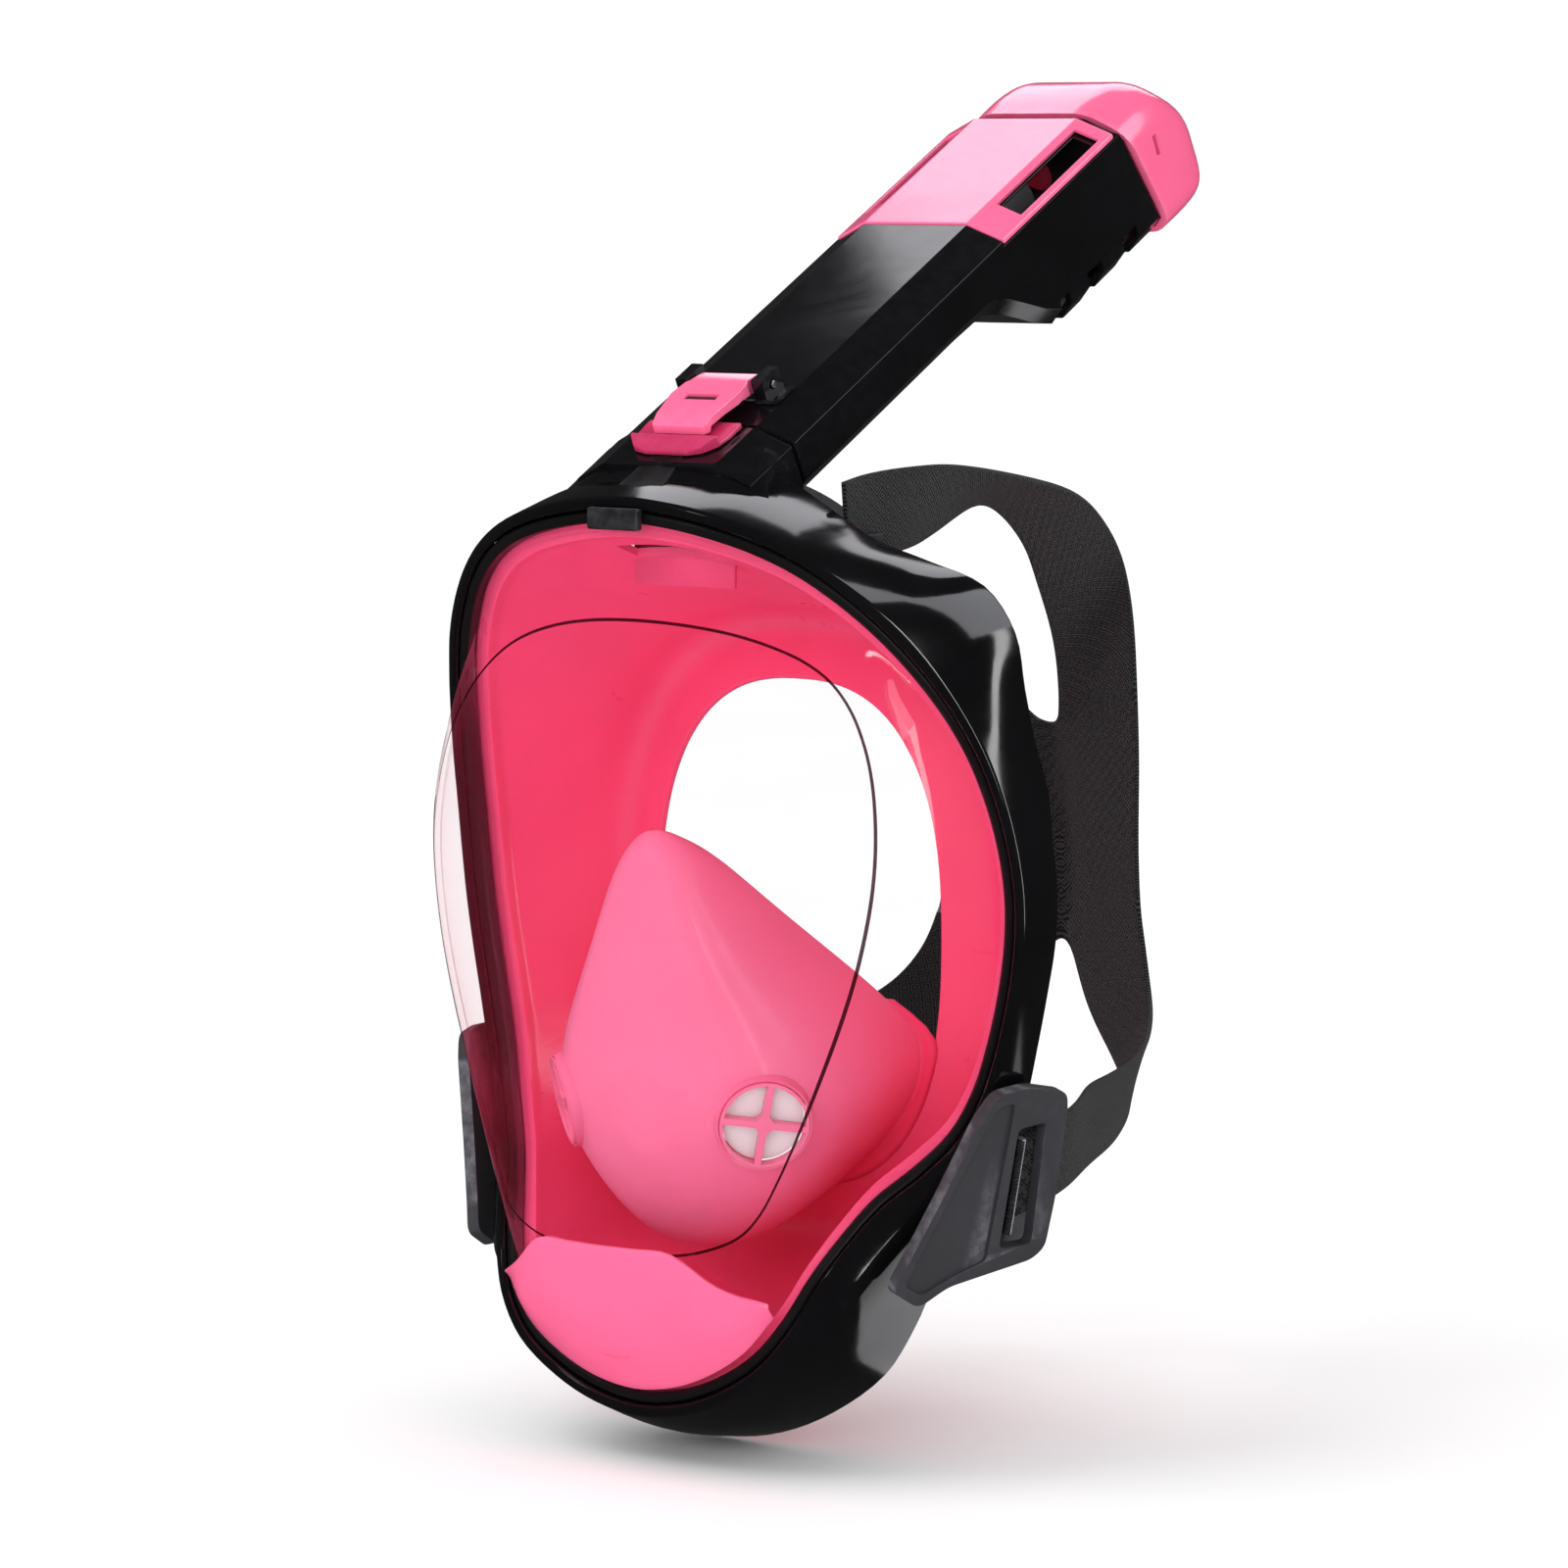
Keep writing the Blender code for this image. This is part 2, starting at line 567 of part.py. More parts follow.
STEPS = [TUBE_S0, 60.0, 110.0, 126.0, 134.0, 142.0, 150.0, 158.0, 164.0, 186.0, TUBE_S1]
lean = lambda s: SLANT * smoothstep(184.0, TUBE_S1, s)
snorkel_tube = tube_loft("snorkel_tube", [tube_section(s, 0, head_depth(s), slant=lean(s)) for s in STEPS], BLACK)
core_steps = [TUBE_S0 - 5.0] + STEPS[1:-1] + [TUBE_S1 + 5.0]
core = tube_loft("tube_bore", [tube_section(s, TUBE_WALL, head_depth(s), slant=lean(s)) for s in core_steps], None, cutter=True)
cut(snorkel_tube, core)

# the collar sits in a recess of the front face and both bevels
COL_S0, COL_S1 = 139.0, 205.0


def saddle(s, t_out, t_in, x_out, bev):
    """Band over the tube's front and bevels."""
    fw, hw = FRONT_HW, x_out
    top = [(-hw, -bev + t_out), (-fw, t_out), (fw, t_out), (hw, -bev + t_out)]
    return [tube_pt(x, s, t) for x, t in top] + [tube_pt(x, s, t) for x, t in [(hw, -bev + t_in), (fw - 0.4, t_in), (-fw + 0.4, t_in), (-hw, -bev + t_in)]]


recess = tube_loft("collar_recess", [saddle(s, 3.0, -1.5, SIDE_HW + 4, BEVEL_D * 15 / 11) for s in (COL_S0 - 0.4, TUBE_S1 + 4.0)], None, cutter=True)
cut(snorkel_tube, recess)
vent_collar = tube_loft("vent_collar", [saddle(s, 0.5, -1.1, SIDE_HW + 0.1, BEVEL_D) for s in (COL_S0, COL_S1)], GPINK)
for sx in (1, -1):
    # one vent window on each bevel, through collar and tube
    w = box("vent_window_%d" % sx, (-4.0, 153.0, -6.0), (4.0, 200.0, 3.0), None, cutter=True)
    w.matrix_world = tube_matrix(0, -2.6, 23.5 * sx) @ Matrix.Rotation(math.radians(25.3 * sx), 4, "Y")
    cut(vent_collar, w)
    w2 = box("vent_hole_%d" % sx, (-3.4, 155.0, -7.0), (3.4, 198.0, 3.0), None, cutter=True)
    w2.matrix_world = w.matrix_world.copy()
    cut(snorkel_tube, w2)

# exhaust notches in the head's rear wall and rear corners
for k, (s, half) in enumerate(((160.5, 2.8), (178.5, 4.4), (200.0, 4.4))):
    cut(snorkel_tube, box("notch_%d" % k, (-SIDE_HW - 4, s - half, -HEAD_D - 6), (SIDE_HW + 4, s + half, -HEAD_D + 9), None, cutter=True)).object.matrix_world = tube_matrix(0, 0)

exhaust_seat = box("exhaust_valve_seat", (-26.3, 165.0, -31.6), (26.3, 199.5, -29.4), CRIMSON, matrix=tube_matrix(0, 0))
cut(exhaust_seat, box("exhaust_port", (-17.0, 169.0, -36.0), (17.0, 196.0, -26.0), None, matrix=tube_matrix(0, 0), cutter=True))
box("exhaust_flap", (-19.0, 167.0, -32.9), (19.0, 198.0, -31.9), MEMBRANE, matrix=tube_matrix(0, 0))

# float valve and its gasket inside the head
float_valve = cylinder("float_valve", 9.5, 30.0, GREY, tube_matrix(172.0, -16.0) @ Matrix.Rotation(math.radians(-90), 4, "X"), 24)
bv = float_valve.modifiers.new("Bevel", "BEVEL")
bv.width, bv.segments, bv.limit_method = 2.0 * MM, 2, "ANGLE"
gasket = tube_loft("float_seat_gasket", [tube_section(s, 2.6, HEAD_D) for s in (200.7, 203.3)], SATIN)
cut(gasket, cylinder("gasket_bore", 6.5, 8.0, None, tube_matrix(202.0, -16.0) @ Matrix.Rotation(math.radians(-90), 4, "X"), 20, cutter=True))


# ---------------------------------------------------------------- top cap
# each station: s and t of the front, s and t of the rear, half width, half width of the front face
CAP_ROWS = [(CAP_S0, 0.0, CAP_S0 + 12.7, -46.5, 29.8, 18.0), (220.0, 0.1, 230.0, -46.6, 29.9, 18.2), (230.0, -1.0, 237.0, -46.5, 29.8, 18.0),
            (238.0, -4.6, 242.0, -46.0, 29.4, 17.6), (243.4, -10.5, 245.2, -44.6, 28.4, 17.0), (246.6, -18.0, 247.0, -41.0, 26.0, 15.0),
            (248.0, -25.0, 248.0, -35.0, 19.0, 10.0)]


def cap_loop(row, inset=0.0):
    """Outline of one station; the points lean with the line from its front to its rear."""
    s0, t0, s1, t1, hw, fw = row
    i = inset
    side = max(BEVEL_D, 0.2 * (t0 - t1))
    pts = [(-fw + i * 0.4, t0 - i), (fw - i * 0.4, t0 - i), (hw - i, t0 - side - i * 0.4), (hw - i, t1 + 5 + i * 0.4),
           (hw - 5 - i * 0.4, t1 + i), (-hw + 5 + i * 0.4, t1 + i), (-hw + i, t1 + 5 + i * 0.4), (-hw + i, t0 - side - i * 0.4)]
    return [tube_pt(x, s0 + (s1 - s0) * (t0 - t) / (t0 - t1), t) for x, t in pts]


top_cap = tube_loft("top_cap", [cap_loop(r) for r in CAP_ROWS], GPINK)
bore_rows = [(r[0] - 4.0, r[1], r[2] - 4.0, r[3], r[4], r[5]) for r in CAP_ROWS[:1]] + [(r[0] - 2.6, r[1], r[2] - 2.6, r[3], r[4], r[5]) for r in CAP_ROWS[1:5]]
cut(top_cap, tube_loft("cap_bore", [cap_loop(r, 2.3) for r in bore_rows], None, cutter=True))
cut(top_cap, box("cap_slot", (SIDE_HW - 5, 223.0, -21.5), (SIDE_HW + 3, 225.0, -15.0), None, matrix=tube_matrix(0, 0), cutter=True))



# ---------------------------------------------------------------- socket, hinge and latch
def socket_section(s, grow):
    d = TUBE_D
    hw, fw = SIDE_HW + grow, FRONT_HW + grow
    return [tube_pt(x, s, t) for x, t in [(-fw, grow), (fw, grow), (hw, -BEVEL_D + grow * 0.5), (hw, -d + 4), (hw - 4, -d - grow),
                                          (-hw + 4, -d - grow), (-hw, -d + 4), (-hw, -BEVEL_D + grow * 0.5)]]


SOCKET_S0, SOCKET_S1 = -1.5, 20.0
socket = tube_loft("snorkel_socket", [socket_section(s, 0.6) for s in (SOCKET_S0, SOCKET_S1)], BLACK)
cut(socket, tube_loft("socket_bore", [tube_section(s, 3.4) for s in (SOCKET_S0 - 3, SOCKET_S1 + 3)], None, cutter=True))

# the frame is open round the socket and under the tube, and the skirt has the inlet
cut(frame_shell, tube_loft("frame_opening", [socket_section(s, 1.1) for s in (SOCKET_S0 - 0.4, 70.0)], None, cutter=True))
cut(face_skirt, box("inlet_port", (-14.0, -60.0, 74.0), (14.0, -50.0, 104.0), None, cutter=True))

gk = tube_loft("socket_gasket", [tube_section(s, 1.0) for s in (20.3, 22.2)], SATIN)
cut(gk, tube_loft("gasket_core", [tube_section(s, 4.0) for s in (18.0, 25.0)], None, cutter=True))

# hinge at the rear of the socket: one knuckle on the tube, two on the socket, one pin
HINGE_S, HINGE_T, HINGE_R = 21.4, -TUBE_D - 4.2, 3.2
hm = tube_matrix(HINGE_S, HINGE_T) @ Matrix.Rotation(math.radians(90), 4, "Y")
tube_knuckle = cylinder("tube_knuckle", HINGE_R, 19.0, None, hm, 20, cutter=True)
tube_web = box("tube_web", (-9.2, HINGE_S + 1.4, -TUBE_D - 5.5), (9.2, HINGE_S + 9.0, -TUBE_D + 1.0), None, matrix=tube_matrix(0, 0), cutter=True)
cut(snorkel_tube, tube_web, "UNION")
cut(snorkel_tube, tube_knuckle, "UNION")
cut(snorkel_tube, cylinder("tube_pin_hole", 1.75, 60.0, None, hm, 16, cutter=True))
for sx in (1, -1):
    km = tube_matrix(HINGE_S, HINGE_T, 15.0 * sx) @ Matrix.Rotation(math.radians(90), 4, "Y")
    cut(socket, box("socket_web_%d" % sx, (15.0 * sx - 4.7, HINGE_S - 8.0, -TUBE_D - 7.0), (15.0 * sx + 4.7, HINGE_S - 1.7, -TUBE_D + 0.5), None, matrix=tube_matrix(0, 0), cutter=True), "UNION")
    cut(socket, cylinder("socket_knuckle_%d" % sx, HINGE_R, 10.0, None, km, 20, cutter=True), "UNION")
cut(socket, cylinder("socket_pin_hole", 1.75, 60.0, None, hm, 16, cutter=True))
cylinder("snorkel_hinge_pin", 1.45, 44.0, STEEL, hm, 16)

# latch: bracket with two ears on the tube's front, lever on a pin, catch on the socket
PIN_S, PIN_T = 38.0, 4.2
ears = box("latch_bracket", (-18.0, 33.6, 0.35), (18.0, 43.6, 1.5), BLACK, matrix=tube_matrix(0, 0))
cut(ears, box("hub_room", (-10.6, 33.0, 0.0), (10.6, 44.0, 3.0), None, matrix=tube_matrix(0, 0), cutter=True))
cut(ears, box("bracket_tie", (-17.0, 41.9, 0.36), (17.0, 43.5, 1.4), None, matrix=tube_matrix(0, 0), cutter=True), "UNION")
for sx in (1, -1):
    cut(ears, box("ear_%d" % sx, (12.9 * sx - 1.9, 33.7, 0.8), (12.9 * sx + 1.9, 42.6, 7.4), None, matrix=tube_matrix(0, 0), cutter=True), "UNION")
pm = tube_matrix(PIN_S, PIN_T) @ Matrix.Rotation(math.radians(90), 4, "Y")
cut(ears, cylinder("ear_hole", 1.5, 44.0, None, pm, 16, cutter=True))
cylinder("latch_pin", 1.2, 31.0, STEEL, pm, 16)


def lever_profile():
    """Side outline of the lever along the tube: round hub, flat arm and hooked nose."""
    hub = [(PIN_S + 2.7 * math.cos(math.radians(g)), PIN_T + 2.7 * math.sin(math.radians(g))) for g in range(-100, 71, 19)]
    return hub + [(34.5, 7.2), (26.0, 7.4), (16.0, 6.9), (11.4, 5.6), (11.2, 3.0), (13.4, 2.9), (14.2, 4.2), (20.0, 4.5), (28.0, 4.3), (34.0, 3.2)]


def lever_outline(grow=0.0):
    """The lever from above, across and along: wide in the middle, narrow at its hub."""
    half = [(8.2, 10.8), (9.2, 12.4), (11.2, 26.0), (10.6, 32.6), (9.6, 34.0), (9.6, 41.6)]
    return [(x + grow, y) for x, y in half] + [(-x - grow, y) for x, y in reversed(half)]


lm = tube_matrix(0, 0) @ Matrix(((0, 0, 1, 0), (1, 0, 0, 0), (0, 1, 0, 0), (0, 0, 0, 1)))
lever = flat_shape("latch_lever", [lever_profile()], 24.0, GPINK, lm, bevel=0.0)
cut(lever, flat_shape("lever_plan", [lever_outline()], 40.0, None, tube_matrix(0, 0), cutter=True), "INTERSECT")
cut(lever, cylinder("lever_hole", 1.5, 40.0, None, pm, 16, cutter=True))
cut(lever, box("lever_slot", (-5.5, 23.4, 5.8), (5.5, 26.0, 12.0), None, matrix=tube_matrix(0, 0), cutter=True))


def catch_profile():
    """Base with a front lip and a low tooth; the lever's hook rests between them."""
    return [(3.2, 0.95), (19.4, 0.95), (19.4, 2.6), (16.0, 2.5), (14.0, 2.3), (9.6, 2.3), (9.2, 4.4), (6.4, 4.0), (3.2, 2.2)]


def catch_outline():
    half = [(6.5, 3.0), (11.5, 4.6), (14.6, 8.4), (15.6, 13.0), (15.6, 19.6)]
    return half + [(-x, y) for x, y in reversed(half)]


catch = flat_shape("latch_catch", [catch_profile()], 34.0, CRIMSON, lm)
cut(catch, flat_shape("catch_plan", [catch_outline()], 40.0, None, tube_matrix(0, 0), cutter=True), "INTERSECT")

# ---------------------------------------------------------------- strap, lugs and buckles
STRAP_T = 1.6
# each station gives the two edges of the band: outer or upper, then inner or lower
UPPER_ARM = [((43.6, -33.5, 105.5), (45.2, -33.5, 84.0)), ((44.4, -22.0, 107.4), (46.0, -22.0, 84.4)),
             ((47.6, -6.0, 108.6), (47.0, -6.0, 86.2)),
             ((50.2, 14.0, 108.2), (43.6, 12.5, 90.0)), ((52.0, 45.0, 103.2), (37.5, 44.0, 96.0)),
             ((50.4, 73.0, 97.6), (31.5, 73.0, 84.0)), ((46.6, 94.0, 89.0), (24.5, 94.0, 68.0)),
             ((43.4, 110.5, 76.0), (17.5, 113.0, 51.0)), ((41.6, 119.0, 58.0), (10.5, 127.0, 35.0)),
             ((39.6, 124.5, 34.0), (4.0, 137.5, 24.0))]
LOWER_ARM = [((35.0, 134.0, -30.0), (4.0, 146.0, -46.0)), ((40.5, 130.0, -48.0), (13.0, 142.0, -64.0)),
             ((49.0, 119.0, -61.0), (28.0, 134.0, -79.0)), ((59.5, 96.0, -67.5), (45.0, 113.0, -86.5)),
             ((69.6, 65.0, -68.0), (62.6, 77.0, -90.0)), ((80.6, 35.5, -66.5), (77.0, 39.5, -90.5)),
             ((93.4, 5.6, -68.0), (88.2, 7.2, -92.2)), ((88.5, -14.4, -74.4), (82.7, -12.8, -98.2))]
WEB = [((37.4, 129.5, 12.0), (0.0, 143.0, 10.0)), ((34.4, 133.5, -9.0), (0.0, 145.5, -12.0))]


def strap_mesh():
    """X shaped harness: a centre web with four arms, as one band 1.6 mm thick."""
    steps = 3

    def fine(st):
        a = [s[0] for s in st]
        b = [s[1] for s in st]
        m = (len(st) - 1) * steps
        out = []
        for k in range(m + 1):
            i, u = divmod(k, steps)
            u /= steps
            pair = []
            for pts in (a, b):
                p = [Vector(q) for q in pts]
                i2 = min(i, len(p) - 2)
                uu = u if i2 == i else 1.0
                p0 = p[i2 - 1] if i2 else 2 * p[0] - p[1]
                p3 = p[i2 + 2] if i2 + 2 < len(p) else 2 * p[-1] - p[-2]
                p1, p2 = p[i2], p[i2 + 1]
                pair.append(0.5 * ((2 * p1) + (p2 - p0) * uu + (2 * p0 - 5 * p1 + 4 * p2 - p3) * uu * uu + (3 * p1 - p0 - 3 * p2 + p3) * uu ** 3))
            out.append(pair)
        return out
    up, low = fine(UPPER_ARM), fine(LOWER_ARM)
    verts, faces = [], []

    def add(p):
        verts.append(p)
        return len(verts) - 1
    cols = 4

    def strip(pairs):
        rows = []
        for a, b in pairs:
            rows.append([add(a.lerp(b, c / cols)) for c in range(cols + 1)])
        for r in range(len(rows) - 1):
            for c in range(cols):
                faces.append((rows[r][c], rows[r][c + 1], rows[r + 1][c + 1], rows[r + 1][c]))
        return rows
    ru = strip(up)
    rl = strip(low)
    # the half web between the two arms, its inner edge on the mirror plane
    web_rows = [ru[-1]]
    top_edge = [Vector(p) for p in WEB[0]]
    bot_edge = [Vector(p) for p in WEB[1]]
    for e in (top_edge, bot_edge):
        web_rows.append([add(e[0].lerp(e[1], c / cols)) for c in range(cols)] + [None])
    web_rows.append(rl[0])
    # the arms' inner corners sit at the crotches; close the gap to the mirror plane there
    ct = add(Vector((0.0, 139.5, 22.5)))
    cm1 = add(Vector((0.0, 143.6, 8.0)))
    cm2 = add(Vector((0.0, 146.5, -14.0)))
    cb = add(Vector((0.0, 147.0, -43.0)))
    web_rows[1][cols] = add(Vector((4.2, 142.6, 8.2)))
    web_rows[2][cols] = add(Vector((6.0, 145.8, -14.0)))
    for r in range(3):
        for c in range(cols):
            faces.append((web_rows[r][c], web_rows[r][c + 1], web_rows[r + 1][c + 1], web_rows[r + 1][c]))
    mids = [ct, cm1, cm2, cb]
    for r in range(3):
        faces.append((web_rows[r][cols], mids[r], mids[r + 1], web_rows[r + 1][cols]))
    return verts, faces


sv, sf = strap_mesh()
head_strap = add_mesh("head_strap", sv, sf, WEBBING)
mir = head_strap.modifiers.new("Mirror", "MIRROR")
mir.use_axis = (True, False, False)
mir.use_clip = True
mir.merge_threshold = 0.0001
so = head_strap.modifiers.new("Solidify", "SOLIDIFY")
so.thickness, so.offset = STRAP_T * MM, 0.0

for side, sx in (("left", 1), ("right", -1)):
    # rounded lug that grips the upper arm's end, behind the frame's corner
    lug = box("strap_lug_" + side, (sx * 45.4 - 4.4, -36.6, 77.0), (sx * 45.4 + 4.4, -22.0, 91.5), SATIN)
    cut(lug, box("lug_slot_" + side, (sx * 45.6 - 1.7, -34.4, 83.2), (sx * 45.6 + 1.7, -18.0, 99.0), None, cutter=True))
    bl = lug.modifiers.new("Bevel", "BEVEL")
    bl.width, bl.segments, bl.limit_method = 0.9 * MM, 2, "ANGLE"

BUCKLE_C, BUCKLE_NORMAL = Vector((86.0, -19.6, -88.4)), Vector((0.93, -0.25, -0.25)).normalized()


def rounded(points, r, n=4):
    """Corners of a polygon rounded with short arcs."""
    out = []
    m = len(points)
    for i in range(m):
        a, b, c = Vector(points[i - 1]), Vector(points[i]), Vector(points[(i + 1) % m])
        u, v = (a - b).normalized(), (c - b).normalized()
        rr = min(r, (a - b).length * 0.45, (c - b).length * 0.45)
        p, q = b + u * rr, b + v * rr
        for k in range(n + 1):
            f = k / n
            out.append(tuple(p * (1 - f) ** 2 + b * 2 * f * (1 - f) + q * f ** 2))
    return out


for side, sx in (("left", 1), ("right", -1)):
    c = Vector((BUCKLE_C.x * sx, BUCKLE_C.y, BUCKLE_C.z))
    nrm = Vector((BUCKLE_NORMAL.x * sx, BUCKLE_NORMAL.y, BUCKLE_NORMAL.z))
    m = plane_matrix(c + nrm * 1.0, nrm, (0, 0, 1))
    # local X runs back on the left side and forward on the right
    fx = 1 if (m.to_3x3() @ Vector((1, 0, 0))).y > 0 else -1
    tri = [(16.5, 29.0), (18.0, 23.0), (19.4, -2.7), (19.0, -17.6), (14.8, -20.8), (-14.6, -25.2), (-24.5, -30.2), (-35.0, -24.0),
           (-31.0, -16.2), (-22.6, 2.6), (-13.8, 24.0), (-9.1, 30.8), (2.5, 32.0)]
    slot = [(0.7, 19.7), (10.6, 20.8), (13.4, -16.0), (1.6, -16.0)]
    out = rounded([(x * fx, y) for x, y in (tri if fx > 0 else tri[::-1])], 3.0)
    hole = rounded([(x * fx, y) for x, y in (slot if fx > 0 else slot[::-1])], 2.0, 3)
    flat_shape("buckle_" + side, [out, hole], 3.6, GREY, m, bevel=0.6)
    cylinder("buckle_bar_" + side, 1.4, 28.6, STEEL, m @ Matrix.Translation(Vector((4.7 * fx, 1.8, 0.0)) * MM) @ Matrix.Rotation(math.radians(2.0 * fx), 4, "Z") @ Matrix.Rotation(math.radians(90), 4, "X"), 14)
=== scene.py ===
import json
import math
import bpy
import bmesh
from mathutils import Matrix, Vector
from mathutils.bvhtree import BVHTree


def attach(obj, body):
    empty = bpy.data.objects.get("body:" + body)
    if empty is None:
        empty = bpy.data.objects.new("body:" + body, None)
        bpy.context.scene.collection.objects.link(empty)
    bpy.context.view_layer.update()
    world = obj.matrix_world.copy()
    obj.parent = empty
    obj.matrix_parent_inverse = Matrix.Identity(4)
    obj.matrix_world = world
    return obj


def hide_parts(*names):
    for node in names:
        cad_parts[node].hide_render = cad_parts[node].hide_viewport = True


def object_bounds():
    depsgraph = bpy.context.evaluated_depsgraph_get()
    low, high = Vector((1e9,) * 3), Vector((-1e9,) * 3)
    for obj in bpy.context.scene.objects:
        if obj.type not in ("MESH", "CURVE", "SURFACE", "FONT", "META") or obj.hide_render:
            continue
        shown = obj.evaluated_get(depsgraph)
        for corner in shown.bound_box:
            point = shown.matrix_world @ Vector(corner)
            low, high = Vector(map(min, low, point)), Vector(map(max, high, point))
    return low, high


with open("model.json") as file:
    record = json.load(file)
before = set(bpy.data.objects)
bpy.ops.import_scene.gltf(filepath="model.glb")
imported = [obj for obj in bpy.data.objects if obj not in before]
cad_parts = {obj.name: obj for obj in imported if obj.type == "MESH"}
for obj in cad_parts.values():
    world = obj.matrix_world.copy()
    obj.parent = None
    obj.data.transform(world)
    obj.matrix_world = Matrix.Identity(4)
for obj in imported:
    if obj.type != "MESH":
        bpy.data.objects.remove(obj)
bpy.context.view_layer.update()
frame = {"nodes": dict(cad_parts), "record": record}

MM = 0.001
NODES = frame["nodes"]
BODY = {n: b for b, ns in frame["record"]["behaviour"]["bodies"].items() for n in ns}
SCENE = bpy.context.scene

# =====================================================================  shape rules, mm
N_HALF = 26
RIM_STATIONS = [(95.0, 0.0, -76.0), (90.5, 32.0, -74.0), (80.0, 54.5, -65.5), (60.0, 73.0, -51.0),
                (34.0, 85.0, -36.0), (4.0, 90.0, -26.0), (-24.0, 89.0, -23.0), (-56.0, 82.0, -24.5),
                (-74.0, 74.5, -31.0), (-90.0, 61.0, -46.0), (-110.0, 50.5, -60.0), (-128.0, 41.0, -67.0),
                (-141.0, 22.0, -68.5), (-146.0, 0.0, -68.5)]
PANE_STATIONS = [(68.5, 0.0, -70.0), (65.0, 33.0, -64.5), (55.0, 57.0, -59.5), (36.0, 71.0, -61.0),
                 (8.0, 76.0, -64.0), (-22.0, 72.0, -66.5), (-54.0, 61.5, -69.5), (-84.0, 49.5, -73.0),
                 (-98.0, 40.0, -76.0), (-104.0, 24.0, -81.0), (-104.0, 10.0, -83.0), (-104.0, 0.0, -83.5)]
PANE_CROWN, LENS_T, SEAL_W = 8.0, 2.0, 3.0
FACE_HALF_W, FACE_TOP_Z, FACE_BOTTOM_Z, FACE_Y = 49.0, 46.0, -97.0, 7.0
TUBE_BASE = Vector((0.0, -58.0, 110.0))
TUBE_RISE = math.radians(27.4)
FRONT_HW, SIDE_HW, BEVEL_D, TUBE_D, HEAD_D = 18.0, 29.0, 5.2, 22.0, 44.0


def smoothstep(a, b, x):
    t = max(0.0, min(1.0, (x - a) / (b - a)))
    return t * t * (3 - 2 * t)


def spline(stations, t):
    p = [Vector(s) for s in stations]
    lens = [0.0]
    for a, b in zip(p, p[1:]):
        lens.append(lens[-1] + (b - a).length)
    d = t * lens[-1]
    i = max(0, min(len(p) - 2, next((k for k in range(len(p) - 1) if lens[k + 1] >= d - 1e-9), len(p) - 2)))
    return p, i, (d - lens[i]) / (lens[i + 1] - lens[i])


def cr(p0, p1, p2, p3, u):
    return 0.5 * ((2 * p1) + (p2 - p0) * u + (2 * p0 - 5 * p1 + 4 * p2 - p3) * u * u + (3 * p1 - p0 - 3 * p2 + p3) * u ** 3)


def catmull(stations, t):
    p, i, u = spline(stations, t)
    flip = lambda v: Vector((v.x, -v.y, v.z))
    p0 = p[i - 1] if i > 0 else flip(p[1])
    p3 = p[i + 2] if i + 2 < len(p) else flip(p[-2])
    return cr(p0, p[i], p[i + 1], p3, u)


def closed_outline(stations, n_half):
    half = []
    for k in range(n_half + 1):
        q = catmull(stations, k / n_half)
        half.append(Vector((q.y, q.z, q.x)))
    half[0].x = half[-1].x = 0.0
    return half + [Vector((-v.x, v.y, v.z)) for v in half[-2:0:-1]]


def normals_xz(loop):
    n, out = len(loop), []
    for i in range(n):
        t = loop[(i + 1) % n] - loop[i - 1]
        v = Vector((-t.z, 0.0, t.x))
        if v.dot(loop[i] - Vector((0, 0, -20))) < 0:
            v = -v
        out.append(v.normalized())
    return out


RIM = closed_outline(RIM_STATIONS, N_HALF)
RIM_N = normals_xz(RIM)
PANE = closed_outline(PANE_STATIONS, N_HALF)
WIDE_N = list(RIM_N)
for _ in range(14):
    WIDE_N = [(WIDE_N[i - 1] + WIDE_N[i] * 2 + WIDE_N[(i + 1) % len(RIM)]).normalized() for i in range(len(RIM))]
N = len(RIM)


def rim_point(i, o, d):
    near = max(-30.0, min(o, 5.0))
    return RIM[i] + RIM_N[i] * near + WIDE_N[i] * max(0.0, o - 5.0) + Vector((0, d, 0))


def ramp(pairs, v):
    for (v0, y0), (v1, y1) in zip(pairs, pairs[1:]):
        if v >= v1:
            return y0 + (y1 - y0) * min(1.0, max(0.0, (v0 - v) / (v0 - v1)))
    return pairs[-1][1]


def tube_matrix(s, t, x=0.0):
    c, sn = math.cos(TUBE_RISE), math.sin(TUBE_RISE)
    along, out = Vector((0, c, sn)), Vector((0, -sn, c))
    m = Matrix.Identity(4)
    m.col[0][:3] = (1, 0, 0)
    m.col[1][:3] = along
    m.col[2][:3] = out
    m.translation = (TUBE_BASE + along * s + out * t + Vector((x, 0, 0))) * MM
    return m


def tube_pt(x, s, t):
    c, sn = math.cos(TUBE_RISE), math.sin(TUBE_RISE)
    return TUBE_BASE + Vector((x, c * s - sn * t, sn * s + c * t))


def plane_matrix(origin, normal, up):
    z = Vector(normal).normalized()
    y = (Vector(up) - z * z.dot(Vector(up))).normalized()
    m = Matrix.Identity(4)
    m.col[0][:3], m.col[1][:3], m.col[2][:3] = y.cross(z), y, z
    m.translation = Vector(origin) * MM
    return m


